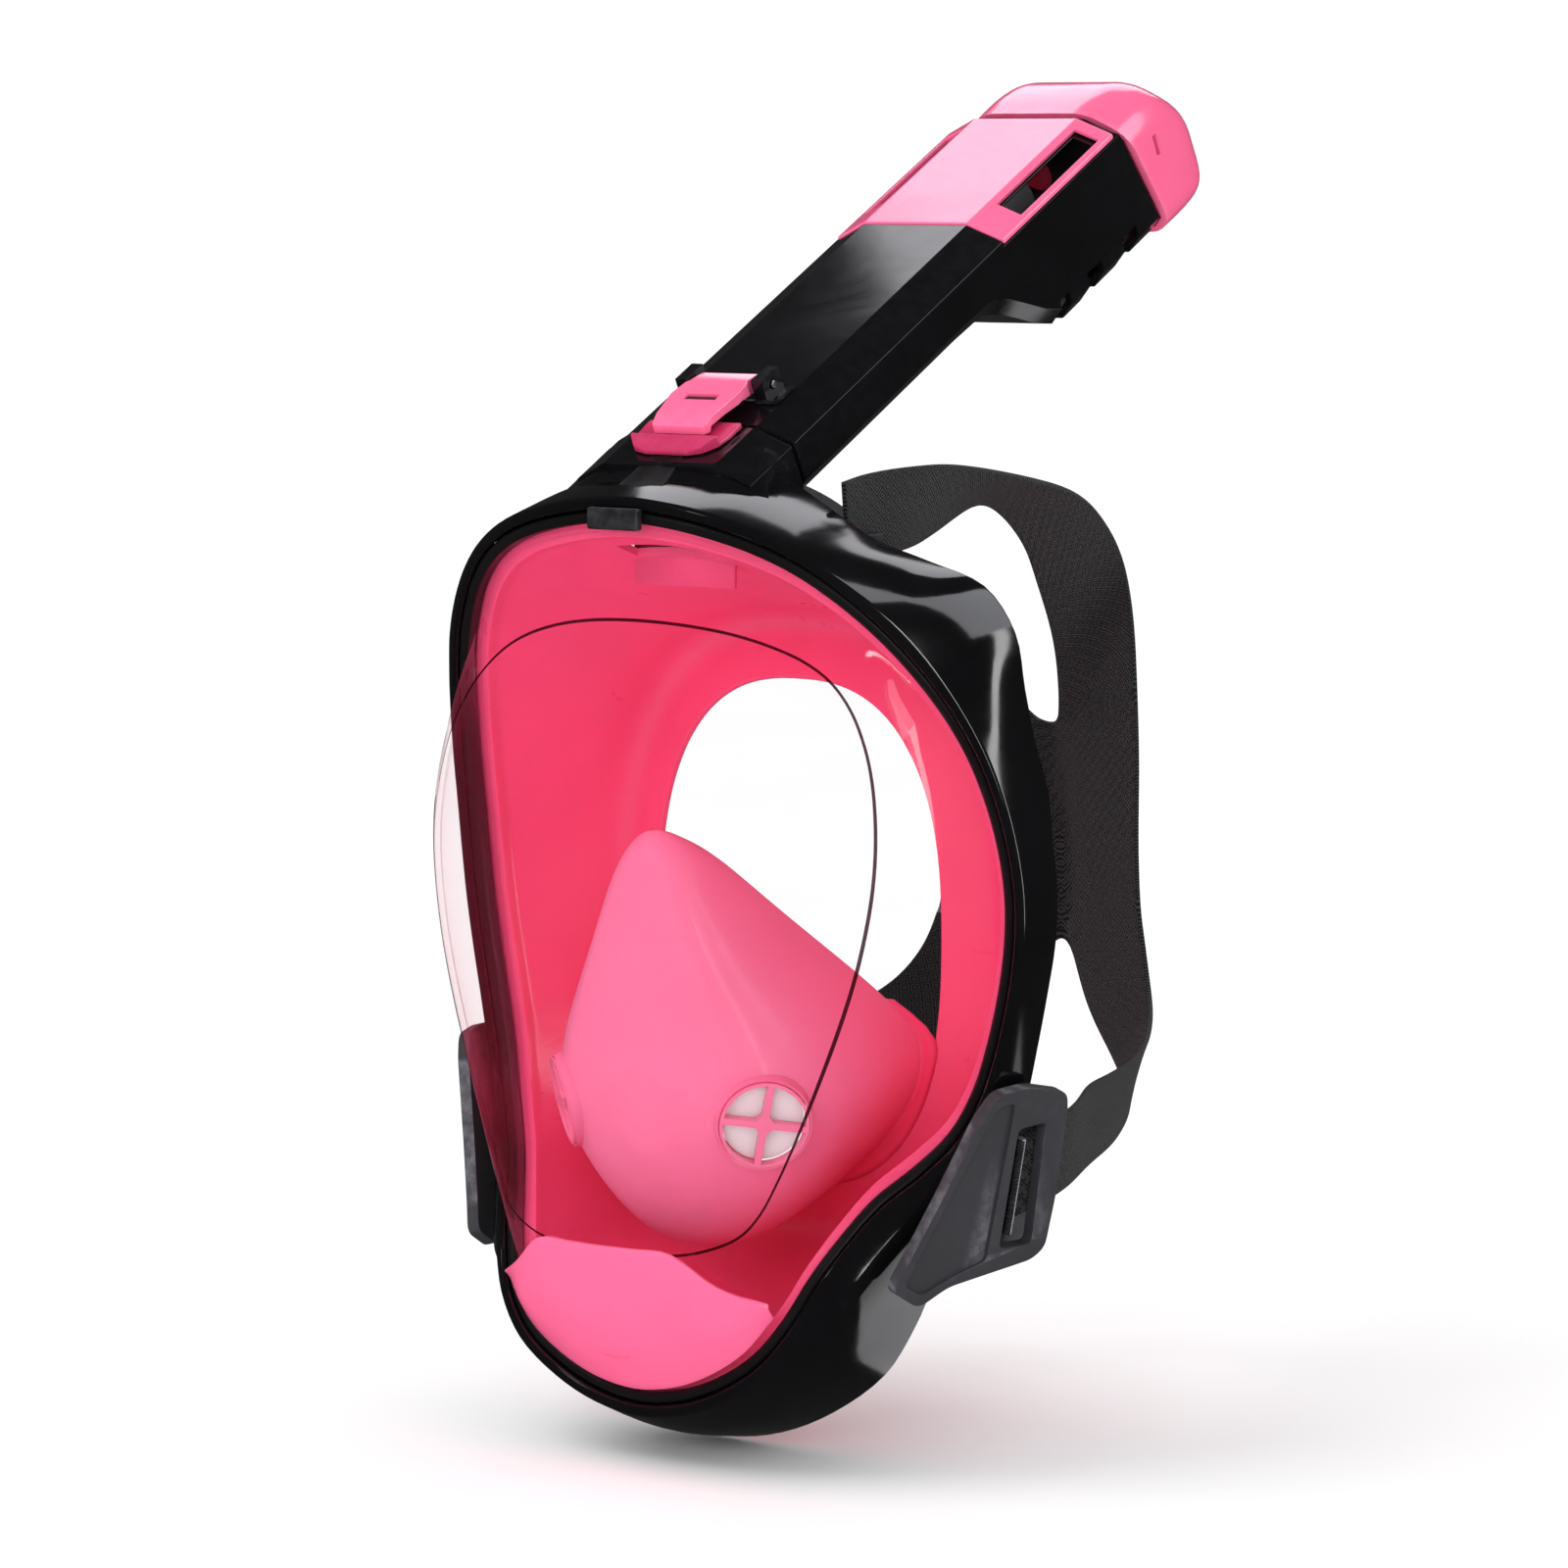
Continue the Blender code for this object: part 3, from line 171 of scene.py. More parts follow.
def refine(sections, m, closed=True):
    """More sections between those given, on a smooth curve through each corner."""
    n, out = len(sections), []
    for i in range(n if closed else n - 1):
        p1, p2 = sections[i], sections[(i + 1) % n]
        if closed:
            p0, p3 = sections[i - 1], sections[(i + 2) % n]
        else:
            p0 = sections[i - 1] if i else [2 * a - b for a, b in zip(sections[0], sections[1])]
            p3 = sections[i + 2] if i + 2 < n else [2 * a - b for a, b in zip(sections[-1], sections[-2])]
        for k in range(m):
            out.append([cr(a, b, c, d, k / m) for a, b, c, d in zip(p0, p1, p2, p3)])
    if not closed:
        out.append(list(sections[-1]))
    return out


def round_loop(points, radii, n=3):
    """Corners of a closed loop rounded; one radius for all, or one for each corner."""
    out, m = [], len(points)
    for i in range(m):
        r = radii[i] if isinstance(radii, (list, tuple)) else radii
        a, b, c = points[i - 1], points[i], points[(i + 1) % m]
        la, lc = (a - b).length, (c - b).length
        ra, rc = min(r, la * 0.46), min(r, lc * 0.46)
        p, q = b + (a - b) * (ra / max(la, 1e-6)), b + (c - b) * (rc / max(lc, 1e-6))
        for k in range(n + 1):
            f = k / n
            out.append(p * (1 - f) ** 2 + b * 2 * f * (1 - f) + q * f ** 2)
    return out


# =====================================================================  mesh helpers
def new_object(name, me, body, mats, angle=32, replaces=()):
    ob = bpy.data.objects.new(name, me)
    SCENE.collection.objects.link(ob)
    index = [f.material_index for f in me.polygons]
    me.materials.clear()
    for m in (mats if isinstance(mats, (list, tuple)) else [mats]):
        me.materials.append(m)
    if any(index):
        me.polygons.foreach_set("material_index", index)
    me.shade_smooth()
    if angle:
        me.set_sharp_from_angle(angle=math.radians(angle))
    if body:
        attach(ob, body)
        if replaces:
            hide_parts(*replaces)
    return ob


def mesh_from(name, verts, faces, index=None):
    me = bpy.data.meshes.new(name)
    bm = bmesh.new()
    vs = [bm.verts.new([c * MM for c in v]) for v in verts]
    for k, f in enumerate(faces):
        fc = bm.faces.new([vs[i] for i in f])
        if index:
            fc.material_index = index[k]
    if all(e.is_manifold for e in bm.edges) and bm.calc_volume(signed=True) < 0:
        bmesh.ops.reverse_faces(bm, faces=bm.faces)
    bm.to_mesh(me)
    bm.free()
    return me


def ring_mesh(name, sections, index=None):
    n, k = len(sections), len(sections[0])
    faces, idx = [], []
    for i in range(n):
        j = (i + 1) % n
        for a in range(k):
            b = (a + 1) % k
            faces.append((i * k + a, j * k + a, j * k + b, i * k + b))
            idx.append(index(i, a) if index else 0)
    return mesh_from(name, [p for s in sections for p in s], faces, idx)


def loft_mesh(name, sections):
    n, k = len(sections), len(sections[0])
    faces = []
    for i in range(n - 1):
        for a in range(k):
            b = (a + 1) % k
            faces.append((i * k + a, (i + 1) * k + a, (i + 1) * k + b, i * k + b))
    faces.append(tuple(range(k)))
    faces.append(tuple((n - 1) * k + a for a in range(k - 1, -1, -1)))
    return mesh_from(name, [p for s in sections for p in s], faces)


def apply_modifiers(ob):
    """The object's own mesh becomes what its modifiers make of it."""
    bpy.context.view_layer.update()
    me = bpy.data.meshes.new_from_object(ob.evaluated_get(bpy.context.evaluated_depsgraph_get()))
    old = ob.data
    ob.modifiers.clear()
    ob.data = me
    if old.users == 0:
        bpy.data.meshes.remove(old)
    return ob


def cutter_object(me, matrix=None):
    ob = bpy.data.objects.new("cutter", me)
    SCENE.collection.objects.link(ob)
    if matrix is not None:
        ob.matrix_world = matrix
    ob.hide_render = True
    return ob


def boolean(ob, cutters, operation="DIFFERENCE"):
    for c in cutters:
        m = ob.modifiers.new("Cut", "BOOLEAN")
        m.operation, m.object, m.solver = operation, c, "EXACT"
    apply_modifiers(ob)
    for c in cutters:
        bpy.data.objects.remove(c, do_unlink=True)


def cylinder_mesh(name, r, depth, seg=48, r2=None):
    bm = bmesh.new()
    bmesh.ops.create_cone(bm, cap_ends=True, segments=seg, radius1=r * MM, radius2=(r if r2 is None else r2) * MM, depth=depth * MM)
    me = bpy.data.meshes.new(name)
    bm.to_mesh(me)
    bm.free()
    return me


def box_mesh(name, lo, hi):
    bm = bmesh.new()
    bmesh.ops.create_cube(bm, size=1.0)
    for v in bm.verts:
        v.co = Vector([(lo[i] + hi[i]) / 2 + v.co[i] * (hi[i] - lo[i]) for i in range(3)]) * MM
    me = bpy.data.meshes.new(name)
    bm.to_mesh(me)
    bm.free()
    return me


def bevel(ob, width, segments=3, angle=25, clamp=True):
    b = ob.modifiers.new("Bevel", "BEVEL")
    b.width, b.segments, b.limit_method = width * MM, segments, "ANGLE"
    b.angle_limit = math.radians(angle)
    b.use_clamp_overlap = clamp
    b.harden_normals = False
    return b


def fine(node, mats, width=0.4, segments=3, angle=25, dissolve=0.8, smooth=40, extra=None):
    """A cleaner copy of a CAD piece with rounded edges, in its place."""
    src = NODES[node]
    bm = bmesh.new()
    bm.from_mesh(src.data)
    bmesh.ops.remove_doubles(bm, verts=bm.verts, dist=2e-6)
    bmesh.ops.dissolve_limit(bm, angle_limit=math.radians(dissolve), verts=bm.verts, edges=bm.edges)
    me = bpy.data.meshes.new(node + "_fine")
    bm.to_mesh(me)
    bm.free()
    ob = new_object(node + "_fine", me, None, mats, angle=None)
    if extra:
        extra(ob)
    if width:
        bevel(ob, width, segments, angle)
        apply_modifiers(ob)
    ob.data.shade_smooth()
    ob.data.set_sharp_from_angle(angle=math.radians(smooth))
    wn = ob.modifiers.new("Weighted", "WEIGHTED_NORMAL")
    wn.keep_sharp = True
    apply_modifiers(ob)
    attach(ob, BODY[node])
    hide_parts(node)
    return ob


# =====================================================================  materials
def srgb(r, g, b):
    return tuple(((c / 255 / 12.92) if c / 255 <= 0.04045 else ((c / 255 + 0.055) / 1.055) ** 2.4) for c in (r, g, b)) + (1.0,)


class Mat:
    """A small builder of node materials; every pattern lies in object space, in metres."""

    def __init__(self, name):
        self.m = bpy.data.materials.new(name)
        self.m.use_nodes = True
        self.nt = self.m.node_tree
        self.b = self.nt.nodes["Principled BSDF"]
        self.out = self.nt.nodes["Material Output"]
        self.tc = self.nt.nodes.new("ShaderNodeTexCoord")
        self.height = None

    def node(self, kind, **kw):
        n = self.nt.nodes.new(kind)
        for k, v in kw.items():
            if hasattr(n, k):
                setattr(n, k, v)
            else:
                n.inputs[k.replace("_", " ")].default_value = v
        return n

    def link(self, a, b):
        self.nt.links.new(a, b)

    def noise(self, scale, detail=4.0, rough=0.55, coords=None, stretch=None, distortion=0.0):
        n = self.nt.nodes.new("ShaderNodeTexNoise")
        n.inputs["Scale"].default_value = scale
        n.inputs["Detail"].default_value = detail
        n.inputs["Roughness"].default_value = rough
        n.inputs["Distortion"].default_value = distortion
        src = coords or self.tc.outputs["Object"]
        if stretch:
            mp = self.nt.nodes.new("ShaderNodeMapping")
            mp.inputs["Scale"].default_value = stretch
            self.link(src, mp.inputs["Vector"])
            src = mp.outputs["Vector"]
        self.link(src, n.inputs["Vector"])
        return n.outputs["Fac"]

    def ramp(self, fac, stops, interpolation="LINEAR"):
        r = self.nt.nodes.new("ShaderNodeValToRGB")
        r.color_ramp.interpolation = interpolation
        e = r.color_ramp.elements
        e[0].position, e[0].color = stops[0][0], stops[0][1] if len(stops[0][1]) == 4 else (*stops[0][1], 1)
        e[1].position, e[1].color = stops[-1][0], stops[-1][1] if len(stops[-1][1]) == 4 else (*stops[-1][1], 1)
        for p, c in stops[1:-1]:
            x = e.new(p)
            x.color = c if len(c) == 4 else (*c, 1)
        self.link(fac, r.inputs["Fac"])
        return r.outputs["Color"]

    def remap(self, fac, a, b, lo=0.3, hi=0.7):
        r = self.nt.nodes.new("ShaderNodeMapRange")
        r.inputs["From Min"].default_value, r.inputs["From Max"].default_value = lo, hi
        r.inputs["To Min"].default_value, r.inputs["To Max"].default_value = a, b
        self.link(fac, r.inputs["Value"])
        return r.outputs["Result"]

    def math(self, op, a, b=None, clamp=False):
        n = self.nt.nodes.new("ShaderNodeMath")
        n.operation = op
        n.use_clamp = clamp
        for k, v in enumerate((a, b)):
            if v is None:
                continue
            if isinstance(v, (int, float)):
                n.inputs[k].default_value = v
            else:
                self.link(v, n.inputs[k])
        return n.outputs["Value"]

    def mix(self, fac, a, b):
        n = self.nt.nodes.new("ShaderNodeMix")
        n.data_type = "RGBA"
        for sock, v in ((n.inputs["Factor"], fac), (n.inputs["A"], a), (n.inputs["B"], b)):
            if isinstance(v, (int, float)):
                sock.default_value = v
            elif isinstance(v, tuple):
                sock.default_value = v
            else:
                self.link(v, sock)
        return n.outputs["Result"]

    def bump(self, height, strength, distance):
        n = self.nt.nodes.new("ShaderNodeBump")
        n.inputs["Strength"].default_value = strength
        n.inputs["Distance"].default_value = distance
        self.link(height, n.inputs["Height"])
        if self.height:
            self.link(self.height, n.inputs["Normal"])
        self.height = n.outputs["Normal"]
        self.link(self.height, self.b.inputs["Normal"])
        return self


def moulded(name, rgb, rough=(0.12, 0.2), dark=0.9, spec=0.5, coat=0.0, grain=0.03, grain_scale=2600.0, sss=0.0, sss_scale=0.003, sss_rgb=(1, 0.3, 0.35), edge_highlight=None):
    """Moulded plastic or rubber: faint flow tone, a varied gloss, a fine grain and a painted highlight along the convex
    edges.
    """
    M = Mat(name)
    tone = M.noise(24.0, 3.0, 0.5, distortion=0.6)
    base = srgb(*rgb)
    low = tuple(c * dark for c in base[:3]) + (1.0,)
    col = M.mix(M.remap(tone, 0.0, 1.0, 0.35, 0.65), low, base)
    speck = M.noise(900.0, 2.0, 0.6)
    col = M.mix(M.math("MULTIPLY", M.remap(speck, 0.0, 1.0, 0.55, 0.75), 0.10, True), col, tuple(min(1.0, c * 1.12 + 0.01) for c in base[:3]) + (1.0,))
    # painted highlight: convex edges, found by pointiness, turn paler, broken up by noise
    if edge_highlight:
        geo = M.nt.nodes.new("ShaderNodeNewGeometry")
        edge = M.remap(geo.outputs["Pointiness"], 0.0, 1.0, 0.52, 0.62)
        highlight_breakup = M.noise(260.0, 5.0, 0.65)
        amount = M.math("MULTIPLY", edge, M.remap(highlight_breakup, 0.2, 1.0, 0.4, 0.65), True)
        col = M.mix(M.math("MULTIPLY", amount, 0.5), col, srgb(*edge_highlight))
    M.link(col, M.b.inputs["Base Color"])
    smear = M.noise(38.0, 5.0, 0.6, stretch=(1.0, 0.5, 2.0), distortion=1.2)
    M.link(M.remap(smear, rough[0], rough[1], 0.3, 0.7), M.b.inputs["Roughness"])
    M.b.inputs["Specular IOR Level"].default_value = spec
    M.b.inputs["Coat Weight"].default_value = coat
    M.b.inputs["Coat Roughness"].default_value = 0.08
    if sss:
        M.b.inputs["Subsurface Weight"].default_value = sss
        M.b.inputs["Subsurface Radius"].default_value = sss_rgb
        M.b.inputs["Subsurface Scale"].default_value = sss_scale
    M.bump(M.noise(grain_scale, 2.0, 0.5), grain, 0.00005)
    M.bump(M.noise(60.0, 2.0, 0.5), 0.04, 0.0003)
    return M


GLOSS_BLACK = moulded("gloss_black_abs", (13, 12, 14), (0.07, 0.13), 0.7, 0.5, grain=0.02, edge_highlight=(60, 60, 66)).m
SATIN_BLACK = moulded("satin_black_plastic", (22, 21, 23), (0.34, 0.46), 0.75, 0.5, grain=0.22, grain_scale=1900.0, edge_highlight=(78, 78, 84)).m
RUBBER = moulded("black_seal_rubber", (20, 18, 20), (0.30, 0.42), 0.7, 0.45, grain=0.18, grain_scale=2200.0).m
PINK_SILICONE = moulded("pink_silicone", (255, 80, 128), (0.26, 0.40), 0.93, 0.45, coat=0.15, grain=0.10, grain_scale=1500.0, sss=0.2, sss_rgb=(1.0, 0.25, 0.32)).m
CUP_SILICONE = moulded("pale_pink_silicone", (255, 118, 160), (0.30, 0.44), 0.94, 0.4, coat=0.1, grain=0.12, grain_scale=1500.0, sss=0.2, sss_rgb=(1.0, 0.35, 0.4)).m
CUP_PLASTIC = moulded("pale_pink_plastic", (255, 122, 162), (0.16, 0.26), 0.94, 0.5, coat=0.2, grain=0.04).m
PINK_PLASTIC = moulded("pink_abs", (255, 106, 152), (0.13, 0.22), 0.94, 0.5, coat=0.3, grain=0.03, sss=0.1, sss_scale=0.002, edge_highlight=(255, 170, 198)).m
CRIMSON = moulded("crimson_abs", (196, 44, 92), (0.16, 0.26), 0.85, 0.5, coat=0.3, grain=0.03, edge_highlight=(235, 120, 160)).m
FLOAT_GREY = moulded("float_foam_grey", (120, 122, 126), (0.5, 0.65), 0.85, 0.4, grain=0.4, grain_scale=1200.0).m
GREY_PLASTIC = moulded("dark_grey_nylon", (56, 55, 60), (0.42, 0.56), 0.86, 0.45, grain=0.35, grain_scale=1500.0, edge_highlight=(132, 132, 140)).m
WHITE_FILM = moulded("milky_silicone_film", (236, 234, 236), (0.34, 0.5), 0.95, 0.4, grain=0.1, sss=0.2, sss_rgb=(0.8, 0.8, 0.8)).m


def steel():
    M = Mat("brushed_steel")
    s = M.noise(420.0, 3.0, 0.6, stretch=(0.15, 1.0, 6.0))
    M.link(M.ramp(s, [(0.3, srgb(150, 152, 158)), (0.7, srgb(206, 208, 214))]), M.b.inputs["Base Color"])
    M.b.inputs["Metallic"].default_value = 1.0
    M.link(M.remap(s, 0.2, 0.38), M.b.inputs["Roughness"])
    M.bump(s, 0.08, 0.0001)
    return M.m


STEEL = steel()


def clear_plastic(name, tint, strength, rough, floor=0.0, veil=0.0):
    """Thin clear polycarbonate: light passes straight through and the surface mirrors by angle."""
    M = Mat(name)
    nt = M.nt
    nt.nodes.remove(M.b)
    tr = nt.nodes.new("ShaderNodeBsdfTransparent")
    tone = M.noise(18.0, 2.0, 0.5)
    M.link(M.mix(M.remap(tone, 0.0, 1.0, 0.3, 0.7), tuple(c * 0.985 for c in tint[:3]) + (1.0,), tint), tr.inputs["Color"])
    gl = nt.nodes.new("ShaderNodeBsdfGlossy")
    gl.inputs["Color"].default_value = (1, 1, 1, 1)
    smear = M.noise(30.0, 4.0, 0.6, distortion=0.8)
    M.link(M.remap(smear, rough * 0.7, rough * 1.4), gl.inputs["Roughness"])
    lw = nt.nodes.new("ShaderNodeLayerWeight")
    lw.inputs["Blend"].default_value = 0.5
    schlick = M.math("ADD", M.math("MULTIPLY", M.math("POWER", lw.outputs["Facing"], 5.0), 0.96), 0.04)
    fac = M.math("ADD", M.math("MULTIPLY", schlick, strength), floor, True)
    mx = nt.nodes.new("ShaderNodeMixShader")
    M.link(fac, mx.inputs["Fac"])
    M.link(tr.outputs["BSDF"], mx.inputs[1])
    M.link(gl.outputs["BSDF"], mx.inputs[2])
    bp = nt.nodes.new("ShaderNodeBump")
    bp.inputs["Strength"].default_value = 0.03
    bp.inputs["Distance"].default_value = 0.0003
    M.link(M.noise(55.0, 2.0, 0.5), bp.inputs["Height"])
    M.link(bp.outputs["Normal"], gl.inputs["Normal"])
    M.link(mx.outputs["Shader"], M.out.inputs["Surface"])
    return M.m


CLEAR = clear_plastic("clear_polycarbonate", (0.985, 0.975, 0.98, 1), 0.75, 0.045)
CLEAR_IN = clear_plastic("clear_polycarbonate_inside", (0.99, 0.985, 0.988, 1), 0.25, 0.06)
# painted shade: a dark tint on the pane's edge row draws a dark line along the pane's edge
CLEAR_EDGE_PAINTED_DARK = clear_plastic("clear_polycarbonate_painted_dark_edge", (0.10, 0.05, 0.07, 1), 0.9, 0.10, floor=0.02)


def webbing():
    """Black elastic webbing: a concentric diamond weave from the band's own length and width."""
    M = Mat("black_elastic_webbing")
    uv = M.nt.nodes.new("ShaderNodeUVMap")
    uv.uv_map = "weave"
    sep = M.nt.nodes.new("ShaderNodeSeparateXYZ")
    M.link(uv.outputs["UV"], sep.inputs["Vector"])
    pitch = 1000.0 / 4.4
    fu = M.math("PINGPONG", M.math("MULTIPLY", sep.outputs["X"], pitch), 0.5)
    fv = M.math("PINGPONG", M.math("MULTIPLY", sep.outputs["Y"], pitch), 0.5)
    dist = M.math("ADD", fu, fv)
    ring = M.math("PINGPONG", M.math("MULTIPLY", dist, 4.0), 0.5)
    ridge = M.math("MULTIPLY", ring, 2.0)
    thread = M.math("PINGPONG", M.math("MULTIPLY", sep.outputs["Y"], 1000.0 / 0.42), 0.5)
    rib = M.math("PINGPONG", M.math("MULTIPLY", sep.outputs["X"], 1000.0 / 0.55), 0.5)
    cloth = M.math("ADD", M.math("MULTIPLY", ridge, 0.85), M.math("MULTIPLY", M.math("ADD", thread, rib), 0.25))
    fuzz = M.noise(2600.0, 3.0, 0.6)
    h = M.math("ADD", cloth, M.math("MULTIPLY", fuzz, 0.22))
    # the weave's relief is real; its colour, dark in the grooves and pale on the ridges, is painted shade and painted
    # highlight
    col = M.ramp(h, [(0.15, srgb(5, 5, 6)), (0.55, srgb(17, 17, 18)), (1.0, srgb(58, 59, 62))])
    fade = M.noise(22.0, 3.0, 0.5)
    col = M.mix(M.remap(fade, 0.0, 0.15, 0.35, 0.7), col, srgb(34, 35, 38))
    M.link(col, M.b.inputs["Base Color"])
    M.link(M.remap(cloth, 0.92, 0.68, 0.1, 0.9), M.b.inputs["Roughness"])
    M.b.inputs["Sheen Weight"].default_value = 0.12
    M.b.inputs["Sheen Roughness"].default_value = 0.4
    M.b.inputs["Specular IOR Level"].default_value = 0.25
    M.bump(h, 0.9, 0.0005)
    return M.m


WEBBING = webbing()

# =====================================================================  frame
FRAME_REAR_Y = [(95.0, -36.0), (90.0, -40.0), (84.0, -37.0), (77.0, -31.0), (70.0, -27.0), (62.0, -23.5), (43.0, -18.0),
                (20.0, -11.0), (-12.0, -7.5), (-44.0, -9.0), (-60.0, -10.0), (-90.0, -11.0), (-128.0, -17.0), (-146.0, -27.0)]
FRAME_FLARE = [(95.0, 9.0), (92.5, 8.0), (88.0, 4.5), (83.0, 2.8), (77.0, 4.5), (70.0, 12.0), (62.0, 15.0), (52.0, 12.0),
               (40.0, 4.0), (10.0, 0.8), (-40.0, 0.8), (-66.0, 3.0), (-90.0, 6.0), (-118.0, 7.0), (-130.0, 10.0), (-146.0, 13.5)]


def frame_section(i):
    z = RIM[i].z
    jaw = smoothstep(-62, -80, z) * (1 - smoothstep(-112, -126, z))
    back = ramp(FRAME_REAR_Y, z) - RIM[i].y
    out = ramp(FRAME_FLARE, z)
    o0, lip = SEAL_W + 0.6, 3.2
    mid_b, mid_o = back * (0.42 - 0.3 * jaw), lip + 0.5 + out * 0.6 + 3.5 * jaw
    return [(o0, 4.2), (o0, -0.4), (o0 + 0.9, -1.4), (o0 + lip, -1.2), (o0 + mid_o, mid_b), (o0 + lip + out, back),
            (o0 + lip + out - 2.4, back + 0.3), (o0 + mid_o - 2.4, mid_b + 1.4), (o0 + 2.2, 4.2)]


def socket_section(s, grow, rnd=0.0):
    d = TUBE_D
    hw, fw = SIDE_HW + grow, FRONT_HW + grow
    pts = [tube_pt(x, s, t) for x, t in [(-fw, grow), (fw, grow), (hw, -BEVEL_D + grow * 0.5), (hw, -d + 4), (hw - 4, -d - grow),
                                         (-hw + 4, -d - grow), (-hw, -d + 4), (-hw, -BEVEL_D + grow * 0.5)]]
    return round_loop(pts, rnd, 3) if rnd else pts


secs = refine([[rim_point(i, o, d) for o, d in frame_section(i)] for i in range(N)], 4)
RADII = [0.4, 0.35, 0.5, 1.3, 22.0, 1.0, 0.9, 16.0, 0.6]
secs = [round_loop(s, RADII, 5) for s in secs]
frame_ob = new_object("frame_shell_fine", ring_mesh("frame_shell_fine", secs), None, GLOSS_BLACK)
boolean(frame_ob, [cutter_object(loft_mesh("c", [socket_section(s, 1.1, 2.0) for s in (-1.9, 70.0)]))])
frame_ob.data.shade_smooth()
frame_ob.data.set_sharp_from_angle(angle=math.radians(38))
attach(frame_ob, "mask")
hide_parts("frame_shell")

seal = [(0.0, 4.0), (0.0, 0.3), (1.0, -0.6), (2.6, -0.6), (SEAL_W + 0.2, 0.2), (SEAL_W + 0.2, 4.0)]
secs = refine([[rim_point(i, o, d) for o, d in seal] for i in range(N)], 4)
secs = [round_loop(s, [0.2, 0.4, 0.6, 0.6, 0.4, 0.2], 4) for s in secs]
new_object("lens_seal_fine", ring_mesh("lens_seal_fine", secs), "mask", RUBBER, 50, ["lens_seal"])

secs = refine([[rim_point(i, o, d) for o, d in [(-0.6, 7.2), (4.4, 7.2), (4.4, 9.4), (-0.6, 9.4)]] for i in range(N)], 3)
secs = [round_loop(s, 0.5, 3) for s in secs]
new_object("retainer_ring_fine", ring_mesh("retainer_ring_fine", secs), "mask", SATIN_BLACK, 50, ["retainer_ring"])


# =====================================================================  neck of the frame
def neck_point(v, f, lift=0.0):
    """Surface that sweeps from the frame's front lip up on to the socket; v across, f up."""
    ax = abs(v)
    bx = 50.0 * v
    k = next((j for j in range(N_HALF) if RIM[j + 1].x >= abs(bx)), N_HALF - 1)
    u = (abs(bx) - RIM[k].x) / max(1e-6, RIM[k + 1].x - RIM[k].x)
    low = rim_point(k, 6.0, -0.2).lerp(rim_point(k + 1, 6.0, -0.2), u)
    low.x = bx
    tx = 29.4 * v
    drop = 0.0 if abs(tx) < FRONT_HW else -BEVEL_D * (abs(tx) - FRONT_HW) / (SIDE_HW - FRONT_HW)
    high = tube_pt(tx, 15.0, 0.72 + drop)
    along = tube_pt(0, 1, 0) - tube_pt(0, 0, 0)
    c1 = low + Vector((-0.06 * bx, 12.0, 4.5 - 2.5 * ax))
    c2 = high - along * (16.0 + 6.0 * ax)
    g = 1 - f
    p = low * g ** 3 + c1 * 3 * g * g * f + c2 * 3 * g * f * f + high * f ** 3
    return p + Vector((0, -0.35, 0.94)) * lift


def neck_patch(name, vs, lift, mat, thick, tuck):
    rows = []
    m = 14
    for j in range(m + 1):
        f = j / m
        row = [neck_point(v, f, lift) for v in vs]
        if tuck:
            a, b = row[0], row[-1]
            g = 0.18 + 0.82 * f
            row = [a + Vector((2.5, 2.0, -7.0)) * g, a + Vector((-0.3, 0.6, -1.6)) * g] + row + [b + Vector((0.3, 0.6, -1.6)) * g, b + Vector((-2.5, 2.0, -7.0)) * g]
        rows.append(row)
    first = [p + Vector((0, 1.2, -1.2)) for p in rows[0]]
    last = [p + (tube_pt(0, 0.5, -3.0) - tube_pt(0, 0, 0)) for p in rows[-1]]
    rows = [first] + rows + [last]
    n = len(rows[0])
    faces = [(r * n + c, r * n + c + 1, (r + 1) * n + c + 1, (r + 1) * n + c) for r in range(len(rows) - 1) for c in range(n - 1)]
    me = mesh_from(name, [p for r in rows for p in r], faces)
    if sum(f.normal.z * f.area for f in me.polygons) < 0:
        me.flip_normals()
    ob = new_object(name, me, None, mat, None)
    so = ob.modifiers.new("Solidify", "SOLIDIFY")
    so.thickness, so.offset = thick * MM, -1.0
    apply_modifiers(ob)
    ob.data.shade_smooth()
    ob.data.set_sharp_from_angle(angle=math.radians(38))
    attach(ob, "mask")
    return ob


neck_patch("frame_neck", [k / 12 for k in range(-12, 13)], 0.0, GLOSS_BLACK, 0.9, True)
neck_patch("frame_neck_strip", [k / 24 for k in range(-4, 5)], 0.45, SATIN_BLACK, 0.5, False)


# =====================================================================  visor
def lens_rings():
    rings = [[rim_point(i, -0.6, 1.6) for i in range(N)], [rim_point(i, -2.6, 0.2) for i in range(N)]]
    shoulder = []
    for i in range(N):
        m = rings[1][i].lerp(PANE[i], 0.55)
        shoulder.append(m + RIM_N[i] * (2.2 * smoothstep(-100, -60, RIM[i].z)) + Vector((0, -1.5, 0)))
    rings.append(shoulder)
    rings.append([shoulder[i].lerp(PANE[i], 0.82) + RIM_N[i] * 0.8 * smoothstep(-100, -60, RIM[i].z) for i in range(N)])
    mid = Vector((0, 0, -8.0))
    for f in (0.985, 0.80, 0.52, 0.24):
        ring = []
        for i in range(N):
            p = PANE[i]
            q = Vector((p.x * f, 0, mid.z + (p.z - mid.z) * f))
            q.y = p.y * f + (1 - f) * (-66.0 - 0.07 * (0 - q.z)) - PANE_CROWN * (1 - f ** 2)
            ring.append(q)
        rings.append(ring)
    return rings


